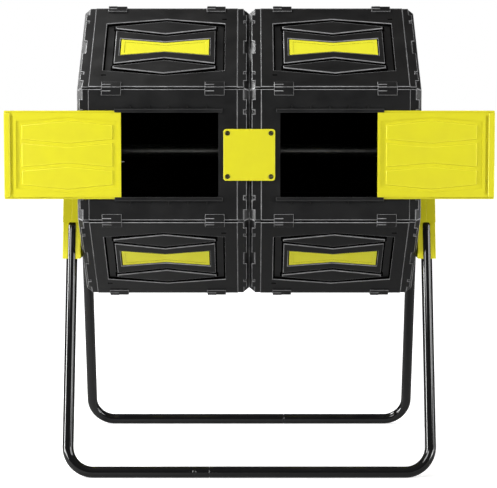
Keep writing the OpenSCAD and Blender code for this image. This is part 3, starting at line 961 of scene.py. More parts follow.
@dataclass
class DrumPanel:
    """A flat drum panel with a sunken field, raised lens bars and a bow-tie frame."""

    places: Places
    length: float = 312.0
    half: float = 127.0
    shelf: float = 128.7
    edge_depth: float = 2.5
    edge_lap: float = 8.0
    wall: float = 6.0
    strip: float = 12.0
    strip_step: float = 1.0
    strip_round: float = 1.0
    tab_reach: float = 6.0
    tab_wall: float = 3.0
    relief: float = 4.5
    draft: float = 0.9
    edge_round: float = 1.3
    bar_round: float = 1.5
    # width and height of the near-black lines of painted shade on the sunken floor
    painted_shade_width: float = 3.4
    painted_shade_height: float = 0.15
    field_size: tuple[float, float, float] = (238.0, 152.0, 182.0)
    lens_sizes: tuple[float, float, float, float, float] = (202.0, 120.0, 84.0, 136.0, 170.0)
    frame_size: tuple[float, float, float] = (198.0, 106.0, 70.0)
    pocket_size: tuple[float, float, float] = (178.6, 54.6, 31.6)
    tabs: tuple[tuple[float, float], ...] = ((20.0, 79.0), (87.0, 107.0))
    vent: tuple[float, float] = (9.5, 3.0)
    vent_place: tuple[float, float] = (117.0, 91.0)

    def tabbed_strip(self, end: int) -> Shape:
        """The stepped strip along one end, with the tabs beyond it.

        Args:
            end: 1 for the end along +x, -1 for the other.

        Returns:
            The strip.
        """
        near = self.length / 2 - self.strip - SUNK
        edge = self.length / 2
        tip = edge + self.tab_reach
        outline: list[Point] = [(near, -self.half), (edge, -self.half)]
        spans = [(-b, -a) for a, b in reversed(self.tabs)] + list(self.tabs)
        for low, high in spans:
            outline += [(edge, low), (tip, low), (tip, high), (edge, high)]
        outline += [(edge, self.half), (near, self.half)]
        strip = Shape().plate([(end * x, y) for x, y in outline], -self.tab_wall, -self.strip_step)
        return strip.crown(self.strip_round, 2, -self.strip_step)

    def handled(self, edge: bmesh.types.BMEdge) -> bool:
        """Whether an edge of the upper layer is rounded; the small slots' edges aren't.

        Args:
            edge: The edge.

        Returns:
            True if it is.
        """
        near = [v for v in edge.verts if abs(abs(v.co.x) - self.vent_place[0]) < self.vent[0]
                and abs(abs(v.co.y) - self.vent_place[1]) < self.vent[1]]
        return above(-HAIR)(edge) and not near

    def soil(self, outline: Outline, holes: Sequence[Outline] = ()) -> Shape:
        """A thin near-black line of painted shade on the sunken floor."""
        line = Shape().plate(outline, -self.relief - HAIR, -self.relief + self.painted_shade_height, holes)
        return line.painted_shade_all_over()

    def blank(self, holes: Sequence[Outline], top_holes: Sequence[Outline]) -> Shape:
        """The plate with its stepped ends, before any relief.

        Args:
            holes: Holes right through it.
            top_holes: Holes in its upper layer alone.

        Returns:
            The plate.
        """
        floor, edge, half = -self.relief, self.length / 2, self.half
        rim = self.length / 2 - self.strip
        body = Shape().block(-edge, -half, edge, half, -self.wall, floor, holes)
        top = Shape().block(-rim, -half, rim, half, floor - SUNK, 0.0, [*top_holes, *holes])
        # the walls of the sunken field get painted shade
        body.add(top.soften(self.edge_round, 3, self.handled).painted_shade_on_walls())
        for side in (-1, 1):
            section = [(half - self.edge_lap, -self.wall), (half, -self.wall),
                       (self.shelf, -self.edge_depth), (half - self.edge_lap, -self.edge_depth)]
            shelf = Shape().bar([(side * y, z) for y, z in section], -edge, edge)
            # the shelf at the bottom of the groove between panels is painted with shade
            body.add(shelf.painted_shade_all_over())
        for end in (-1, 1):
            body.add(self.tabbed_strip(end))
        return body

    def shape(self) -> Shape:
        """The whole panel.

        Returns:
            The panel.
        """
        (x, y), (along, across) = self.vent, self.vent_place
        slots = [moved(rectangle(-x / 2, -y / 2, x / 2, y / 2), side * along, side * across)
                 for side in (-1, 1)]
        wide = 2 * self.painted_shade_width
        field_edge = waisted(*self.field_size)
        body = self.blank(slots, [field_edge])
        # near-black lines of painted shade round the foot of the field's wall, the bow-tie frame
        # and the lens bars
        body.add(self.soil(field_edge, [waisted(*(v - wide for v in self.field_size))]))
        body.add(self.soil(waisted(*(v + wide for v in self.frame_size))))
        length, inner_end, inner_middle, outer_end, outer_middle = self.lens_sizes
        for side in (-1, 1):
            body.add(self.soil(lens(length + wide, inner_end - wide, inner_middle - wide,
                                    outer_end + wide, outer_middle + wide, side)))
            # the walls of the lens bars and of the bow-tie frame get painted shade
            bar = Shape().island(lens(*self.lens_sizes, side), -self.relief, 0.0, self.draft)
            body.add(bar.crown(self.bar_round, 3, 0.0).painted_shade_on_walls())
        frame = Shape().plate(waisted(*self.frame_size), -self.relief - SUNK, 0.0,
                              [waisted(*self.pocket_size)])
        return body.add(frame.crown(self.bar_round, 3, 0.0).painted_shade_on_walls())

    def build(self) -> None:
        """Places the panel on the six plain faces of both drums."""
        shape = self.shape()
        for side, k in self.places.plain_faces():
            dress(shape, f"moulded_panel_{side.word}_{k}", self.places.at_face(side, k),
                  Finish.DRUM, "drum", f"{side.word}_panel_{k}")


@dataclass
class Fins:
    """The mixing fins: one in each plain panel, two beside each door opening."""

    places: Places
    length: float = 266.0
    height: float = 42.0
    thickness: float = 4.0
    corner: float = 4.0
    edge_round: float = 0.6
    holes: int = 5
    hole_r: float = 10.5
    hole_pitch: float = 52.0
    panel_wall: float = 6.0
    beside_door: float = 107.0

    def shape(self) -> Shape:
        """One fin, standing inward from a panel's inner face.

        Returns:
            The fin.
        """
        middle = -self.panel_wall - self.height / 2
        holes = [disc(((i - (self.holes - 1) / 2) * self.hole_pitch, middle), self.hole_r)
                 for i in range(self.holes)]
        outline = rounded(rectangle(-self.length / 2, -self.panel_wall - self.height,
                                    self.length / 2, -self.panel_wall), self.corner)
        half = self.thickness / 2
        fin = Shape().plate(outline, -half, half, holes).soften(self.edge_round, 2)
        return fin.place(turn(90, "X"))

    def build(self) -> None:
        """Places the fins in both drums."""
        fin = self.shape()
        for side in Side:
            front = self.places.at_face(side, 0)
            spots = [self.places.at_face(side, k) for k in range(1, self.places.faces)]
            spots += [front @ slide(0, y, 0) for y in (-self.beside_door, self.beside_door)]
            dress(repeat(fin, spots), f"mixing_fins_{side.word}", AS_DRAWN, Finish.DRUM, "drum",
                  f"{side.word}_fins")


@dataclass
class Insert:
    """The coloured bow tie pressed into a panel, with a sunken middle inside a rim."""

    places: Places
    size: tuple[float, float, float] = (174.4, 49.8, 27.0)
    wall: float = 3.0
    sink: float = 1.0
    rim: float = 7.0
    rim_round: float = 0.4
    dish: float = 0.8

    def build(self) -> None:
        """Places an insert in each plain panel."""
        top, outline = -self.sink, waisted(*self.size)
        shape = Shape().plate(outline, top - self.wall, top - self.dish)
        inner = waisted(*(value - 2 * self.rim for value in self.size))
        rim = Shape().plate(outline, top - self.dish - SUNK, top, [inner])
        # the walls of the insert's rim get painted shade
        shape.add(rim.crown(self.rim_round, 3, top).painted_shade_on_walls())
        for side, k in self.places.plain_faces():
            dress(shape, f"bow_tie_{side.word}_{k}", self.places.at_face(side, k), Finish.INSERT,
                  "drum", f"{side.word}_insert_{k}")


@dataclass
class DoorPanel(DrumPanel):
    """The panel with the feed opening and the two rails that a door slides in."""

    opening: tuple[float, float] = (60.0, 248.0)
    opening_half: float = 81.5
    opening_corner: float = 2.5
    rail_span: tuple[float, float] = (52.0, 260.5)
    rail_inner: float = 86.0
    rail_wall: float = 4.0
    rail_foot: float = 0.5
    # share of the lighter edge colour on the rails' roundings: partly wear, partly a painted
    # highlight
    rail_wear_and_highlight: float = 0.15
    lip_edge: float = 82.0
    lip_floor: float = 5.0
    lip_wall: float = 2.0
    gussets: int = 5
    gusset_pitch: float = 37.0
    gusset_reach: float = 7.0
    gusset_wall: float = 2.5

    def rail(self) -> Shape:
        """One rail above the opening, with its lip and gussets.

        Returns:
            The rail.
        """
        start, end = (x - self.places.panel_mid for x in self.rail_span)
        inner, outer, foot = self.rail_inner, self.rail_inner + self.rail_wall, -self.rail_foot
        top, tip = self.lip_floor + self.lip_wall, outer + self.gusset_reach
        section = [(inner, foot), (outer, foot), (outer, self.lip_floor),
                   (outer - self.lip_wall, top), (self.lip_edge, top),
                   (self.lip_edge, self.lip_floor), (inner, self.lip_floor)]
        rail = Shape().bar(section, start, end).soften(EASED, 2, mark=self.rail_wear_and_highlight)
        web = [(outer - 1, foot), (tip, foot), (tip, 0), (outer, self.lip_floor - 1),
               (outer - 1, self.lip_floor - 1)]
        for i in range(self.gussets):
            at = (start + end) / 2 + (i - (self.gussets - 1) / 2) * self.gusset_pitch
            half = self.gusset_wall / 2
            rail.add(Shape().bar(web, at - half, at + half).soften(FINE, 2, mark=0.0))
        return rail

    def handled(self, edge: bmesh.types.BMEdge) -> bool:
        """Whether an edge of the upper layer is rounded; the opening's edges aren't.

        Args:
            edge: The edge.

        Returns:
            True if it is.
        """
        inside = [v for v in edge.verts if abs(v.co.y) < self.opening_half + 1
                  and abs(v.co.x) < self.length / 2 - self.strip - 1]
        return above(-HAIR)(edge) and not inside

    def shape(self) -> Shape:
        """The whole door panel.

        Returns:
            The panel.
        """
        start, end = (x - self.places.panel_mid for x in self.opening)
        hole = rounded(rectangle(start, -self.opening_half, end, self.opening_half),
                       self.opening_corner, 3)
        body = self.blank([hole], [])
        rail = self.rail()
        body.add(rail, keep=True)
        return body.add(rail, FLIP_Y)

    def build(self) -> None:
        """Places the door panel on the front of both drums."""
        shape = self.shape()
        for side in Side:
            dress(shape, f"feed_panel_{side.word}", self.places.at_door(side), Finish.DRUM, "drum",
                  f"{side.word}_door_panel")


@dataclass
class Door:
    """A sliding door with a grip bar, shown open."""

    places: Places
    start: float = 248.0
    length: float = 226.0
    height: float = 171.0
    edge: float = 4.0
    gap: float = 0.5
    body_half: float = 81.5
    body_top: float = 7.5
    rim_round: float = 1.1
    grip: float = 12.0
    grip_rise: float = 2.0
    grip_round: float = 1.6
    groove: float = 6.0
    groove_depth: float = 2.5
    groove_inset: float = 6.0
    relief: float = 2.0
    field_lap: float = 4.0
    floor_lap: float = 0.5
    recess: tuple[float, float, float] = (197.0, 129.0, 146.0)
    island_length: float = 176.0
    island_draft: float = 1.3
    island_round: float = 0.8
    lens_heights: tuple[float, float, float, float] = (60.0, 44.0, 116.0, 133.0)
    waist: tuple[float, float] = (47.0, 32.0)
    skin: float = 2.6
    rib: float = 2.0
    rib_round: float = 0.3
    rib_pitch: float = 37.0
    side_wall_slack: float = 0.02
    side_wall_inset: float = 0.3
    side_wall_drop: float = 0.4
    rib_feet: tuple[float, float] = (0.6, 0.8)

    def front(self) -> Shape:
        """The face: a rim round the sunken field, the islands in it and the grip bar.

        Returns:
            The face.
        """
        half, tall = self.length / 2, self.body_half
        bar_start = half - self.grip
        groove_floor = self.body_top - self.groove_depth
        field_floor = self.body_top - self.relief
        shift = -(self.grip + self.groove) / 2
        groove = rectangle(bar_start - self.groove, -tall + self.groove_inset,
                           bar_start - HAIR, tall - self.groove_inset)
        face = Shape().block(-half, -tall, bar_start, tall, groove_floor - SUNK, self.body_top,
                             [moved(waisted(*self.recess), shift, 0), groove])
        face.crown(self.rim_round, 3, self.body_top)
        floor = waisted(*(value + self.field_lap for value in self.recess))
        face.add(Shape().plate(moved(floor, shift, 0), groove_floor - self.floor_lap, field_floor))
        islands = [lens(self.island_length, *self.lens_heights, side) for side in (-1, 1)]
        for outline in (*islands, waisted(self.island_length, *self.waist)):
            island = Shape().island(moved(outline, shift, 0), field_floor, self.body_top,
                                    self.island_draft)
            face.add(island.crown(self.island_round, 3, self.body_top))
        grip = Shape().block(bar_start, -tall, half, tall, 0.0, self.body_top + self.grip_rise)
        return face.add(grip.soften(self.grip_round, 4))

    def back(self) -> Shape:
        """The sliding edge, the side walls and the ribs behind the skin.

        Returns:
            The back.
        """
        half, tall, skin = self.length / 2, self.body_half, self.skin
        high = self.body_top - self.groove_depth
        low = high - skin
        shell = Shape().block(-half, -tall, half, tall, low, high)
        for side in (-1, 1):
            y0, y1 = sorted((side * (tall - skin), side * self.height / 2))
            shell.add(Shape().block(-half, y0, half, y1, 0, self.edge).soften(EASED, 2))
            y0, y1 = sorted((side * (tall - skin), side * (tall - self.side_wall_slack)))
            inset = self.side_wall_inset
            shell.add(Shape().block(-half + inset, y0, half - 1, y1, inset,
                                    self.body_top - self.side_wall_drop))
        shell.add(Shape().block(-half, -tall, -half + skin, tall, 0, high).soften(FINE, 2))
        count, thin = int(self.length / self.rib_pitch), self.rib / 2
        upright, level = self.rib_feet
        for i in range(1, count):
            x = -half + i * self.length / count
            rib = Shape().block(x - thin, -tall, x + thin, tall, upright, low + SUNK)
            shell.add(rib.soften(self.rib_round, 2))
        for y in (-self.rib_pitch, 0, self.rib_pitch):
            rib = Shape().block(-half, y - thin, half, y + thin, level, low + SUNK)
            shell.add(rib.soften(self.rib_round, 2))
        return shell

    def build(self) -> None:
        """Places both doors where they are held open."""
        shape = self.front().add(self.back())
        along = self.start + self.length / 2 - self.places.panel_mid
        for side in Side:
            place = self.places.at_door(side) @ slide(along, 0, self.gap)
            dress(shape, f"sliding_door_{side.word}", place, Finish.DOOR, f"{side.word}_door",
                  f"{side.word}_door")


# ---- drum ends, clips and joining parts ---------------------------------------


@dataclass
class DrumEnd:
    """A seven-sided end plate with a chamfered rim, ribs, pockets and vents."""

    places: Places
    depth: float = 11.0
    drop: float = 8.0
    web: float = 4.0
    lap: float = 18.0
    tab_wall: float = 3.0
    wall: float = 6.0
    rim_round: float = 1.6
    rib_round: float = 0.9
    hook_width: float = 5.0
    hook_at: float = 83.0
    hub_r: float = 62.0
    rib: float = 7.0
    pocket_corner: float = 8.0
    vent_d: float = 9.0
    vent_pitch: float = 45.0
    vent_inset: float = 22.0
    ring: float = 150.0
    bolt: float = 8.0
    boss_r: float = 24.7
    boss_round: float = 0.8
    outer_bore: float = 16.75
    outer_boss: float = 30.0
    inner_bore: float = 13.7
    inner_boss: float = 8.0

    @property
    def far(self) -> float:
        """Distance from the axle to the pockets' outer edges."""
        return self.places.apothem - self.wall - self.web - self.drop - 2 * self.rib

    def corner(self, distance: float) -> float:
        """Corner radius of a seven-sided outline whose faces lie at a distance."""
        return distance / math.cos(math.radians(self.places.mitre))

    def pocket(self) -> list[Point]:
        """Outline of the pocket in one sector, about +y.

        Returns:
            The corners.
        """
        near, far, rib = self.hub_r + self.rib, self.far, self.rib
        slope = math.tan(math.radians(self.places.mitre))
        corners = [(-near * slope + rib, near), (near * slope - rib, near),
                   (far * slope - rib, far), (-far * slope + rib, far)]
        return rounded(corners, self.pocket_corner)

    def shape(self, bore: float, boss_depth: float, bolted: bool) -> Shape:
        """One end plate, with z outward from where the panels stop.

        Args:
            bore: Radius of the hole for the axle or bush.
            boss_depth: Depth inward from the plate's face of the boss round that hole.
            bolted: Whether it has the holes for the coupling bolts.

        Returns:
            The end plate.
        """
        depth, corner, faces = self.depth, self.corner, self.places.faces
        rim = self.places.apothem - self.tab_wall
        lip = self.places.apothem - self.wall
        floor, face = depth - self.web, depth - self.web / 2
        inside = rim - self.drop - self.web
        outer = [(corner(rim), 0), (corner(rim - self.drop), depth), (corner(inside), depth),
                 (corner(inside), floor), (corner(lip - self.web - self.drop), 0)]
        plate = Shape().turned(outer, faces).soften(
            self.rim_round, 3,
            lambda edge: all(v.co.z > depth - HAIR or v.co.xy.length > corner(rim) - 1
                             for v in edge.verts))
        plate.add(Shape().turned([(corner(lip), -self.lap), (corner(lip), SUNK),
                                  (corner(lip - self.web - 4), SUNK),
                                  (corner(lip - self.web), -self.lap)], faces))
        spin = [turn(self.places.mitre + k * self.places.face_turn - 90, "Z")
                for k in range(faces)]

        def spread_out(outline: Outline) -> list[list[Point]]:
            """Repeats an outline round the seven faces."""
            return [[(m @ Vector((x, y, 0))).xy[:] for x, y in outline] for m in spin]

        vents = [hole for i in (-1, 0, 1) for hole in spread_out(
            disc((i * self.vent_pitch, self.far - self.vent_inset), self.vent_d / 2, 16))]
        turns = [k * math.tau / faces for k in range(faces) if bolted]
        bolts = [disc((self.ring * math.sin(t), self.ring * math.cos(t)), self.bolt / 2, 16)
                 for t in turns]
        centre = disc((0, 0), bore, 48)
        heptagon = disc((0, 0), corner(inside + 1), faces)
        plate.add(Shape().plate(heptagon, floor, face, [centre, *vents, *bolts]))
        ribs = Shape().plate(heptagon, face - SUNK, depth - 0.01,
                             [centre, *spread_out(self.pocket())])
        plate.add(ribs.soften(
            self.rib_round, 3, lambda edge: above(depth - HAIR)(edge)
            and any(v.co.xy.length < corner(self.far) for v in edge.verts)))
        plate.add(Shape().ring(self.boss_r, bore, depth - boss_depth, depth)
                  .soften(self.boss_round, 2))
        half = self.hook_width / 2
        for m in spin:
            for at in (-self.hook_at, self.hook_at):
                hook = Shape().block(at - half, lip - 1, at + half, self.places.apothem - 1,
                                     0, self.hook_width)
                plate.add(hook.soften(EASED, 2), m)
        return plate

    def build(self) -> None:
        """Places both ends of both drums."""
        outer = self.shape(self.outer_bore, self.outer_boss, False)
        inner = self.shape(self.inner_bore, self.inner_boss, True)
        for side in Side:
            axis = self.places.along_axle(side)
            far = axis @ slide(0, 0, self.places.drum_half - self.depth)
            near = axis @ slide(0, 0, self.depth) @ FLIP_Z
            for word, shape, place in (("outer", outer, far), ("inner", inner, near)):
                dress(shape, f"end_plate_{word}_{side.word}", place, Finish.DRUM, "drum",
                      f"{side.word}_{word}_end")


@dataclass
class Clips:
    """Bent clips over the drum's edges, with three ridges on one half."""

    places: Places
    width: float = 38.0
    leg: float = 15.0
    wall: float = 2.5
    offset: float = 100.0
    ridge_d: float = 2.0

    def shape(self) -> Shape:
        """One clip: x along the drum's edge, z outward.

        Returns:
            The clip.
        """
        mitre = math.radians(self.places.mitre)
        reach = Vector((self.leg * math.cos(mitre), -self.leg * math.sin(mitre)))
        lift = Vector((self.wall * math.sin(mitre), self.wall * math.cos(mitre)))
        top, ridge_r = self.wall / math.cos(mitre), self.ridge_d / 2
        section = [(0, 0), (reach.x, reach.y), (reach.x + lift.x, reach.y + lift.y), (0, top),
                   (-reach.x - lift.x, reach.y + lift.y), (-reach.x, reach.y)]
        clip = Shape().bar(section, -self.width / 2, self.width / 2).soften(0.6, 2)
        for part in (0, 1, -1):
            at = (part * reach.x / 2, abs(part) * reach.y / 2 + top - self.ridge_d / 8)
            ridge = Shape().bar(disc(at, ridge_r, 12), -self.width / 2 + ridge_r, -ridge_r)
            # the ridges take the lighter edge colour all over: painted highlight lines
            clip.add(ridge.soften(FINE, 2, angle=60).rubbed())
        return clip

    def build(self) -> None:
        """Places two clips on each edge of both drums."""
        clip = self.shape()
        for side in Side:
            edges = [self.places.at_face(side, k + 0.5, self.places.corner_r)
                     for k in range(self.places.faces)]
            spots = [slide(along, 0, 0) @ edge for edge in edges
                     for along in (-self.offset, self.offset)]
            dress(repeat(clip, spots), f"edge_clips_{side.word}", AS_DRAWN, Finish.DRUM, "drum",
                  f"{side.word}_clips")


@dataclass
class JoiningKit:
    """The square plate that joins the drums, its screws and the coupling bolts."""

    places: Places
    side: float = 100.0
    wall: float = 4.0
    plate_round: float = 0.9
    corner: float = 6.0
    pitch: float = 84.0
    head: float = 9.0
    head_rise: float = 0.6
    recess: float = 1.3
    blade: float = 0.6
    shank: float = 4.5
    reach: float = 12.0
    clearance: float = 0.35
    ring: float = 150.0
    bolt: float = 8.0
    grip: float = 4.0

    @property
    def corners(self) -> list[Point]:
        """Where the screws are."""
        half = self.pitch / 2
        return rectangle(-half, -half, half, half)

    def plate(self) -> Shape:
        """The plate, with a counterbored hole in each corner.

        Returns:
            The plate.
        """
        half = self.side / 2
        outline = rounded(rectangle(-half, -half, half, half), self.corner, 6)
        lower = Shape().plate(outline, 0, self.wall / 2)
        holes = [disc(at, self.head / 2 + self.clearance, 32) for at in self.corners]
        upper = Shape().plate(outline, self.wall / 2 - SUNK, self.wall, holes)
        return lower.add(upper.crown(self.plate_round, 4, self.wall))

    def screw(self) -> Shape:
        """A pan-head screw with a cross recess.

        Returns:
            The screw.
        """
        arm, blade, r, shank = self.head * 0.3, self.blade, self.head / 2, self.shank / 2
        seat, top = self.wall / 2, self.wall + self.head_rise
        cross = [(blade, blade), (blade, arm), (-blade, arm), (-blade, blade), (-arm, blade),
                 (-arm, -blade), (-blade, -blade), (-blade, -arm), (blade, -arm), (blade, -blade),
                 (arm, -blade), (arm, blade)]
        screw = Shape().turned([(0, -self.reach), (shank, -self.reach), (shank, seat), (r, seat),
                                (r, top - self.recess), (0, top - self.recess)], 24)
        head = Shape().plate(disc((0, 0), r, 32), top - self.recess - HAIR, top, [cross])
        return screw.add(head.crown(self.clearance, 2, top))

    def coupling(self) -> Shape:
        """A hex bolt and nut through the drums' inner ends.

        Returns:
            The bolt with its nut.
        """
        head, reach = self.bolt * 0.65, self.grip
        bolt = Shape().ring(self.bolt / 2, 0, -reach - head - 1, reach, 24).soften(FINE, 2)
        for low in (-reach - head, reach):
            bolt.add(Shape().ring(self.bolt * 0.9, 0, low, low + head, 6).soften(EASED, 2))
        return bolt

    def build(self) -> None:
        """Places the plate, its screws and the bolts."""
        front = slide(0, -self.places.apothem, self.places.axle_height) @ turn(90, "X")
        dress(self.plate(), "joining_plate_moulded", front, Finish.DOOR, "drum", "joining_plate")
        driven = [slide(x, y, 0) @ turn(17 + 31 * i, "Z") for i, (x, y) in enumerate(self.corners)]
        dress(repeat(self.screw(), driven), "plate_screws_cross", front, Finish.OLIVE, "drum",
              "plate_screws")
        around = [turn(k * self.places.face_turn, "Z") @ slide(0, self.ring, 0) @ turn(13 * k, "Z")
                  for k in range(self.places.faces)]
        dress(repeat(self.coupling(), around), "coupling_bolts_hex",
              self.places.along_axle(Side.RIGHT), Finish.ZINC, "drum", "coupling_bolts")


# ---- axle ----------------------------------------------------------------------


@dataclass
class Axle:
    """The level axle tube with its bushes and end caps."""

    places: Places
    r: float = 12.7
    slack: float = 0.05
    bush_r: float = 16.75
    bush_length: float = 30.0
    flange_r: float = 22.7
    flange: float = 1.5
    cap_r: float = 20.7
    cap_height: float = 8.0
    cap_round: float = 1.8

    def build(self) -> None:
        """Dresses the axle, and places a bush and a cap at each end."""
        axle = bpy.data.objects["axle"]
        for slot in axle.material_slots:
            slot.material = Finish.ZINC.material
        bore, high = self.r + self.slack, self.cap_height
        bush = Shape().turned([(bore, -self.bush_length), (self.bush_r, -self.bush_length),
                               (self.bush_r, 0), (self.flange_r, 0), (self.flange_r, self.flange),
                               (bore, self.flange)]).soften(FINE, 2)
        cap = Shape().ring(self.cap_r, 0, 0, high).soften(self.cap_round, 4, above(HAIR))
        button = [(0, high - 1), (self.cap_r - 6, high - 1), (self.cap_r - 7, high + 0.5),
                  (0, high + 0.7)]
        cap.add(Shape().turned(button).soften(EASED, 2))
        axes = {side: self.places.along_axle(side) for side in Side}
        for side, axis in axes.items():
            dress(bush, f"axle_bush_{side.word}", axis @ slide(0, 0, self.places.drum_half),
                  Finish.BUSH, "drum", f"{side.word}_bush")
        ends = [axis @ slide(0, 0, self.places.bracket_out) for axis in axes.values()]
        dress(repeat(cap, ends), "axle_end_caps", AS_DRAWN, Finish.BUSH, "stand", "axle_caps")


# ---- stand ---------------------------------------------------------------------


@dataclass
class Bracket:
    """A side bracket of two moulded half shells over the leg tops and the axle."""

    places: Places
    hub_r: float = 62.0
    hub_sink: float = 2.0
    drop: float = 210.0
    arch_r: float = 84.0
    shoulder_drop: float = 40.0
    leg_top_reach: float = 151.6
    leg_top_drop: float = 138.0
    leg_cover: float = 16.0
    cheek_cover: float = 8.0
    bolt_at: tuple[float, float] = (26.0, 56.0)
    bolt_r: float = 6.2
    bolt_sink: float = 5.0
    head_r: float = 5.6
    head_top: float = 4.3
    washer_r: float = 5.9
    washer: float = 0.9
    relief: float = 2.0
    rim: float = 17.0
    rim_round: float = 1.4
    ring: tuple[float, float] = (16.0, 30.0)
    hub_webs: tuple[tuple[float, float], ...] = ((30, 74), (106, 150))
    rib: float = 3.0
    rib_sink: float = 0.5
    rib_lap: float = 2.0
    rib_draft: float = 0.5
    ribs: tuple[tuple[float, float], ...] = (
        (-28, 116), (-52, 100), (-90, 96), (-128, 100), (-152, 116))

    def leg_reach(self, drop: float) -> float:
        """Distance from the axle to a leg's axis at a depth below the axle."""
        slope = math.tan(math.radians(self.places.leg_tilt))
        return self.leg_top_reach + (drop - self.leg_top_drop) * slope

    def outline(self, inset: float = 0.0) -> list[Point]:
        """Side view about the axle, drawn smaller by an inset.

        Args:
            inset: How far it lies inside the full outline.

        Returns:
            The corners.
        """
        lean = math.cos(math.radians(self.places.leg_tilt))
        upper, lower = (self.leg_cover - inset) / lean, (self.cheek_cover - inset) / lean
        top = self.hub_r - inset
        neck = Vector((1, 1)).normalized() * (top - self.hub_sink)
        shoulder = Vector((self.leg_reach(self.shoulder_drop) + upper, -self.shoulder_drop))
        along = (shoulder - neck).normalized()
        across = neck.dot(along)
        leave = neck + along * (-across + math.sqrt(across**2 + top**2 - neck.length_squared))
        step, bottom = self.leg_top_drop - inset, self.drop - inset
        arch = self.arch_r + inset
        lift = math.degrees(math.asin(inset / arch))
        angle = math.degrees(math.atan2(leave.y, leave.x))
        right = [shoulder[:], (self.leg_reach(step) + upper, -step),
                 (self.leg_reach(step) + lower, -step), (self.leg_reach(bottom) + lower, -bottom)]
        hub = arc((0, 0), top, 180 - angle, angle, 24)
        return ([*hub, *right, *arc((0, -self.drop), arch, lift, 180 - lift, 28)]
                + [(-x, y) for x, y in reversed(right)])

    @property
    def bolts(self) -> list[Point]:
        """Where the bolts go through the legs.

        Returns:
            Points in the side view.
        """
        tilt = math.radians(self.places.leg_tilt)
        return [(side * (self.leg_top_reach + down * math.sin(tilt)),
                 -self.leg_top_drop - down * math.cos(tilt))
                for side in (-1, 1) for down in self.bolt_at]

    def half_shell(self) -> Shape:
        """One half, with z = 0 at the parting plane and its face upward.

        Returns:
            The half shell.
        """
        width = self.places.bracket_half
        holes = [disc(at, self.bolt_r, 24) for at in self.bolts]
        deep, floor = width - self.bolt_sink, width - self.relief
        near, far = self.ring
        body = Shape().plate(self.outline(), 0, deep).soften(
            0.5, 2, lambda edge: all(v.co.z < HAIR for v in edge.verts), angle=15)
        body.add(Shape().plate(self.outline(), deep - 0.02, floor, holes))
        face = Shape().plate(self.outline(), floor - SUNK, width, [self.outline(self.rim), *holes])
        body.add(face.crown(self.rim_round, 4, width, angle=15))
        for start, end in self.hub_webs:
            web = rounded([(0, 0), *arc((0, 0), far, start, end, 1)], 1)
            body.add(Shape().plate(web, floor - SUNK, floor))
        body.add(Shape().ring(far, near, floor - SUNK, width).crown(1.0, 3, width))
        top = width - self.rib_sink
        for angle, reach in self.ribs:
            foot = rectangle(far - self.rib_lap, -self.rib / 2, reach, self.rib / 2)
            rib = Shape().island(foot, floor, top, self.rib_draft).crown(FINE, 2, top)
            body.add(rib.place(turn(angle, "Z")))
        return body

    def bolt(self) -> Shape:
        """A hex head with a washer face, z = 0 at its seat."""
        head = Shape().ring(self.head_r, 0, self.washer - HAIR, self.head_top, 6).soften(EASED, 2)
        return head.add(Shape().ring(self.washer_r, 0, 0, self.washer, 32).soften(0.2, 1))

    def build(self) -> None:
        """Places both halves of both brackets, and their bolts."""
        shell, spots = self.half_shell(), []
        for side in Side:
            middle = self.places.in_side_view(side) @ slide(0, 0, self.places.stand_half)
            for word, half in (("outer", middle), ("inner", middle @ FLIP_Z)):
                dress(shell, f"bracket_shell_{side.word}_{word}", half, Finish.DOOR, "stand",
                      f"{side.word}_bracket_{word}")
                spots += [half @ slide(x, y, self.places.bracket_half - self.bolt_sink)
                          @ turn(23 * i, "Z") for i, (x, y) in enumerate(self.bolts)]
        dress(repeat(self.bolt(), spots), "leg_bolts_hex", AS_DRAWN, Finish.ZINC, "stand",
              "leg_bolts")


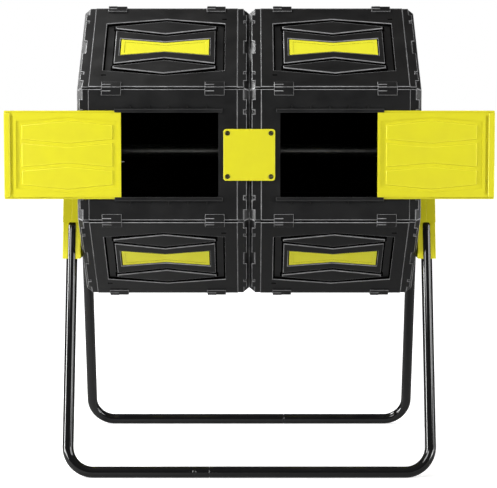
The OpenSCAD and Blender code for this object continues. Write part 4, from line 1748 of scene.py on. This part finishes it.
@dataclass
class StandFrame:
    """The two bent tube frames, their top plugs and the snap buttons at the seams."""

    places: Places
    leg_length: float = 500.5
    plug: float = 8.0
    plug_depth: float = 14.0
    end_round: float = 0.9
    bend_r: float = 50.0
    seam: float = 78.0
    seam_gap: float = 0.25
    spigot: float = 50.0
    spigot_length: float = 55.0
    tube_wall: float = 1.5
    button_at: float = 29.0
    button_r: float = 4.0
    steps: int = 40

    def tube(self, seam: float) -> Shape:
        """One bent tube down a leg and along the bottom bar to the seam.

        Args:
            seam: Where it stops along the bottom bar.

        Returns:
            The tube, flat: x along the bar, y up the leg.
        """
        shape = Shape()
        bm, leg = shape.bm, self.places.stand_half
        start = slide(leg, self.leg_length - self.plug, 0) @ turn(90, "X")
        made = bmesh.ops.create_circle(bm, cap_ends=False, radius=self.places.tube_r,
                                       segments=self.steps, matrix=start)
        ring = list({e for v in made["verts"] for e in v.link_edges})

        def run(edges: list[bmesh.types.BMEdge], vec: Point) -> list[bmesh.types.BMEdge]:
            """Draws the ring out along a straight stretch.

            Args:
                edges: The ring's edges.
                vec: The stretch.

            Returns:
                The new edges.
            """
            drawn = bmesh.ops.extrude_edge_only(bm, edges=edges)["geom"]
            ends = [g for g in drawn if isinstance(g, bmesh.types.BMVert)]
            bmesh.ops.translate(bm, verts=ends, vec=(*vec, 0))
            return [g for g in drawn if isinstance(g, bmesh.types.BMEdge)]

        ring = run(ring, (0, self.bend_r - self.leg_length + self.plug))
        verts = list({v for e in ring for v in e.verts})
        bent = bmesh.ops.spin(bm, geom=verts + ring, cent=(leg - self.bend_r, self.bend_r, 0),
                              axis=(0, 0, -1), dvec=(0, 0, 0), angle=math.pi / 2, steps=24,
                              use_merge=False, use_duplicate=False)["geom_last"]
        run([g for g in bent if isinstance(g, bmesh.types.BMEdge)], (seam - leg + self.bend_r, 0))
        bmesh.ops.holes_fill(bm, edges=bm.edges, sides=self.steps)
        return shape.outward().soften(self.end_round, 3, angle=60)

    def cap(self) -> Shape:
        """The domed plug in a leg's top.

        Returns:
            The plug.
        """
        r = self.places.tube_r
        inside = r - self.tube_wall
        return Shape().turned([(0, -self.plug_depth), (inside, -self.plug_depth), (inside, 0),
                               *arc((r - self.plug, 0), self.plug, 0, 90, 8), (0, self.plug)], 40)

    def button(self) -> Shape:
        """The snap button, standing out of the bottom bar.

        Returns:
            The button.
        """
        r, wide = self.places.tube_r, self.button_r
        return Shape().turned([(0, r - 4), (wide, r - 4), (wide, r - 0.6),
                               *arc((0, r - wide), wide * 1.414, 42, 90, 6)], 24)

    def build(self) -> None:
        """Places the front and rear frames and what is fitted to them."""
        gap, inside = self.seam_gap, self.places.tube_r - self.tube_wall
        long, short = self.tube(-self.seam + gap), self.tube(self.seam + gap)
        long.add(Shape().ring(inside, 0, 0, self.spigot_length, 32),
                 slide(-self.seam - self.spigot, 0, 0) @ turn(90, "Y"))
        pressed, tops = [], []
        for rear, word in ((False, "front"), (True, "rear")):
            stand = self.places.standing(rear)
            pair = (("long", long, stand), ("short", short, stand @ flip_x(True)))
            for size, shape, place in pair:
                dress(shape, f"{word}_tube_{size}_bent", place, Finish.TUBE, "stand",
                      f"{word}_{size}_tube")
            pressed.append(stand @ slide(-self.seam - self.button_at, 0, 0))
            for side in Side:
                top = slide(side.value * self.places.stand_half, self.leg_length - self.plug, 0)
                tops.append(stand @ top @ turn(-90, "X"))
        for shape, spots, name, node in ((self.cap(), tops, "leg_top_plugs", "leg_plugs"),
                                         (self.button(), pressed, "tube_snap_buttons",
                                          "snap_buttons")):
            dress(repeat(shape, spots), name, AS_DRAWN, Finish.TUBE, "stand", node)


# ---- studio ----------------------------------------------------------------------


@dataclass(frozen=True)
class Softbox:
    """A soft area light aimed at a point."""

    name: str
    at: tuple[float, float, float]
    aim: tuple[float, float, float]
    size: tuple[float, float]
    power: float

    def build(self) -> None:
        """Adds the light."""
        lamp = bpy.data.lights.new(self.name, "AREA")
        lamp.shape = "RECTANGLE"
        lamp.size, lamp.size_y = self.size
        lamp.energy = self.power
        thing = bpy.data.objects.new(self.name, lamp)
        thing.location = self.at
        view = Vector(self.aim) - Vector(self.at)
        thing.rotation_euler = view.to_track_quat("-Z", "Y").to_euler()
        bpy.context.scene.collection.objects.link(thing)


@dataclass
class Studio:
    """A white studio: softboxes, a pale floor and the camera."""

    floor_size: float = 30.0
    sensor: float = 36.0
    lens: float = 132.34
    eye: tuple[float, float, float] = (-0.0015, -3.8099, 0.7473)
    dip: float = 4.71
    fill: float = 0.08
    glow_reach: tuple[float, float] = (0.3, 1.6)
    glow: tuple[float, float] = (0.6, 1.0)
    lights: tuple[Softbox, ...] = field(default_factory=lambda: (
        Softbox("key", (-2.0, -3.0, 2.7), (0, 0, 0.6), (1.5, 1.5), 52),
        Softbox("left strip", (-3.0, -1.1, 0.8), (0, 0, 0.5), (0.4, 2.0), 88),
        Softbox("back left", (-1.7, 0.9, 2.9), (0, 0, 0.8), (1.0, 1.0), 64),
        Softbox("right strip", (3.0, -0.9, 1.1), (0, 0, 0.6), (0.35, 2.2), 24),
        Softbox("right fill", (2.9, -2.3, 1.9), (0, 0, 0.6), (1.2, 1.4), 38),
        Softbox("low left", (-2.4, -1.9, 0.25), (0, 0, 0.4), (1.2, 0.4), 17),
        Softbox("low right", (2.4, -1.9, 0.25), (0, 0, 0.4), (1.2, 0.4), 17),
    ))

    def world(self) -> None:
        """White to the eye and a dim even fill to everything else."""
        world = bpy.data.worlds.new("studio")
        bpy.context.scene.world = world
        world.use_nodes = True
        nodes = NodeTree(world.node_tree)
        seen = nodes.node("ShaderNodeLightPath").outputs["Is Camera Ray"]
        shade = world.node_tree.nodes["Background"]
        nodes.feed(shade, Color=(1, 1, 1, 1), Strength=nodes.spread(seen, 0, 1, self.fill, 1.0))

    def floor(self) -> None:
        """A pale floor that brightens to white away from the tumbler."""
        bm = bmesh.new()
        bmesh.ops.create_grid(bm, x_segments=1, y_segments=1, size=self.floor_size / 2)
        mesh = bpy.data.meshes.new("floor")
        bm.to_mesh(mesh)
        bm.free()
        material = bpy.data.materials.new("pale floor")
        material.use_nodes = True
        nodes = NodeTree(material.node_tree)
        shader = material.node_tree.nodes["Principled BSDF"]
        far = nodes.node("ShaderNodeVectorMath", operation="LENGTH")
        nodes.put(far.inputs[0], nodes.place)
        speckle = nodes.noise(160.0, 3.0, 0.6, nodes.place)
        seen = nodes.node("ShaderNodeLightPath").outputs["Is Camera Ray"]
        rising = nodes.spread(far.outputs["Value"], *self.glow_reach, *self.glow)
        glow = nodes.math("MULTIPLY", rising, seen)
        pale = nodes.mix(speckle, (0.90, 0.90, 0.90, 1), (0.86, 0.86, 0.86, 1))
        nodes.feed(shader, Base_Color=nodes.mix(seen, (0.45, 0.45, 0.45, 1), pale),
                   Roughness=0.7, Emission_Color=(1, 1, 1, 1), Emission_Strength=glow)
        shader.inputs["Specular IOR Level"].default_value = 0.1
        mesh.materials.append(material)
        floor = bpy.data.objects.new("floor", mesh)
        bpy.context.scene.collection.objects.link(floor)

    def camera(self) -> None:
        """The camera, a little above the axle and level across."""
        data = bpy.data.cameras.new("camera")
        data.lens = self.lens
        data.sensor_width = self.sensor
        camera = bpy.data.objects.new("camera", data)
        camera.location = self.eye
        camera.rotation_euler = (math.radians(90 - self.dip), 0, 0)
        bpy.context.scene.collection.objects.link(camera)
        bpy.context.scene.camera = camera

    def build(self) -> None:
        """Sets up the studio."""
        self.world()
        self.floor()
        self.camera()
        for light in self.lights:
            light.build()
        bpy.context.scene.view_settings.view_transform = "Standard"


def main() -> None:
    """Builds the tumbler's looks and the studio round it."""
    logging.basicConfig(level=logging.INFO, format="%(name)s: %(message)s")
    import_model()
    places = Places.measured()
    for assembly in (DrumPanel, Fins, Insert, DoorPanel, Door, DrumEnd, Clips, JoiningKit, Axle,
                     Bracket, StandFrame):
        assembly(places).build()
    Studio().build()


if __name__ == "__main__":
    main()
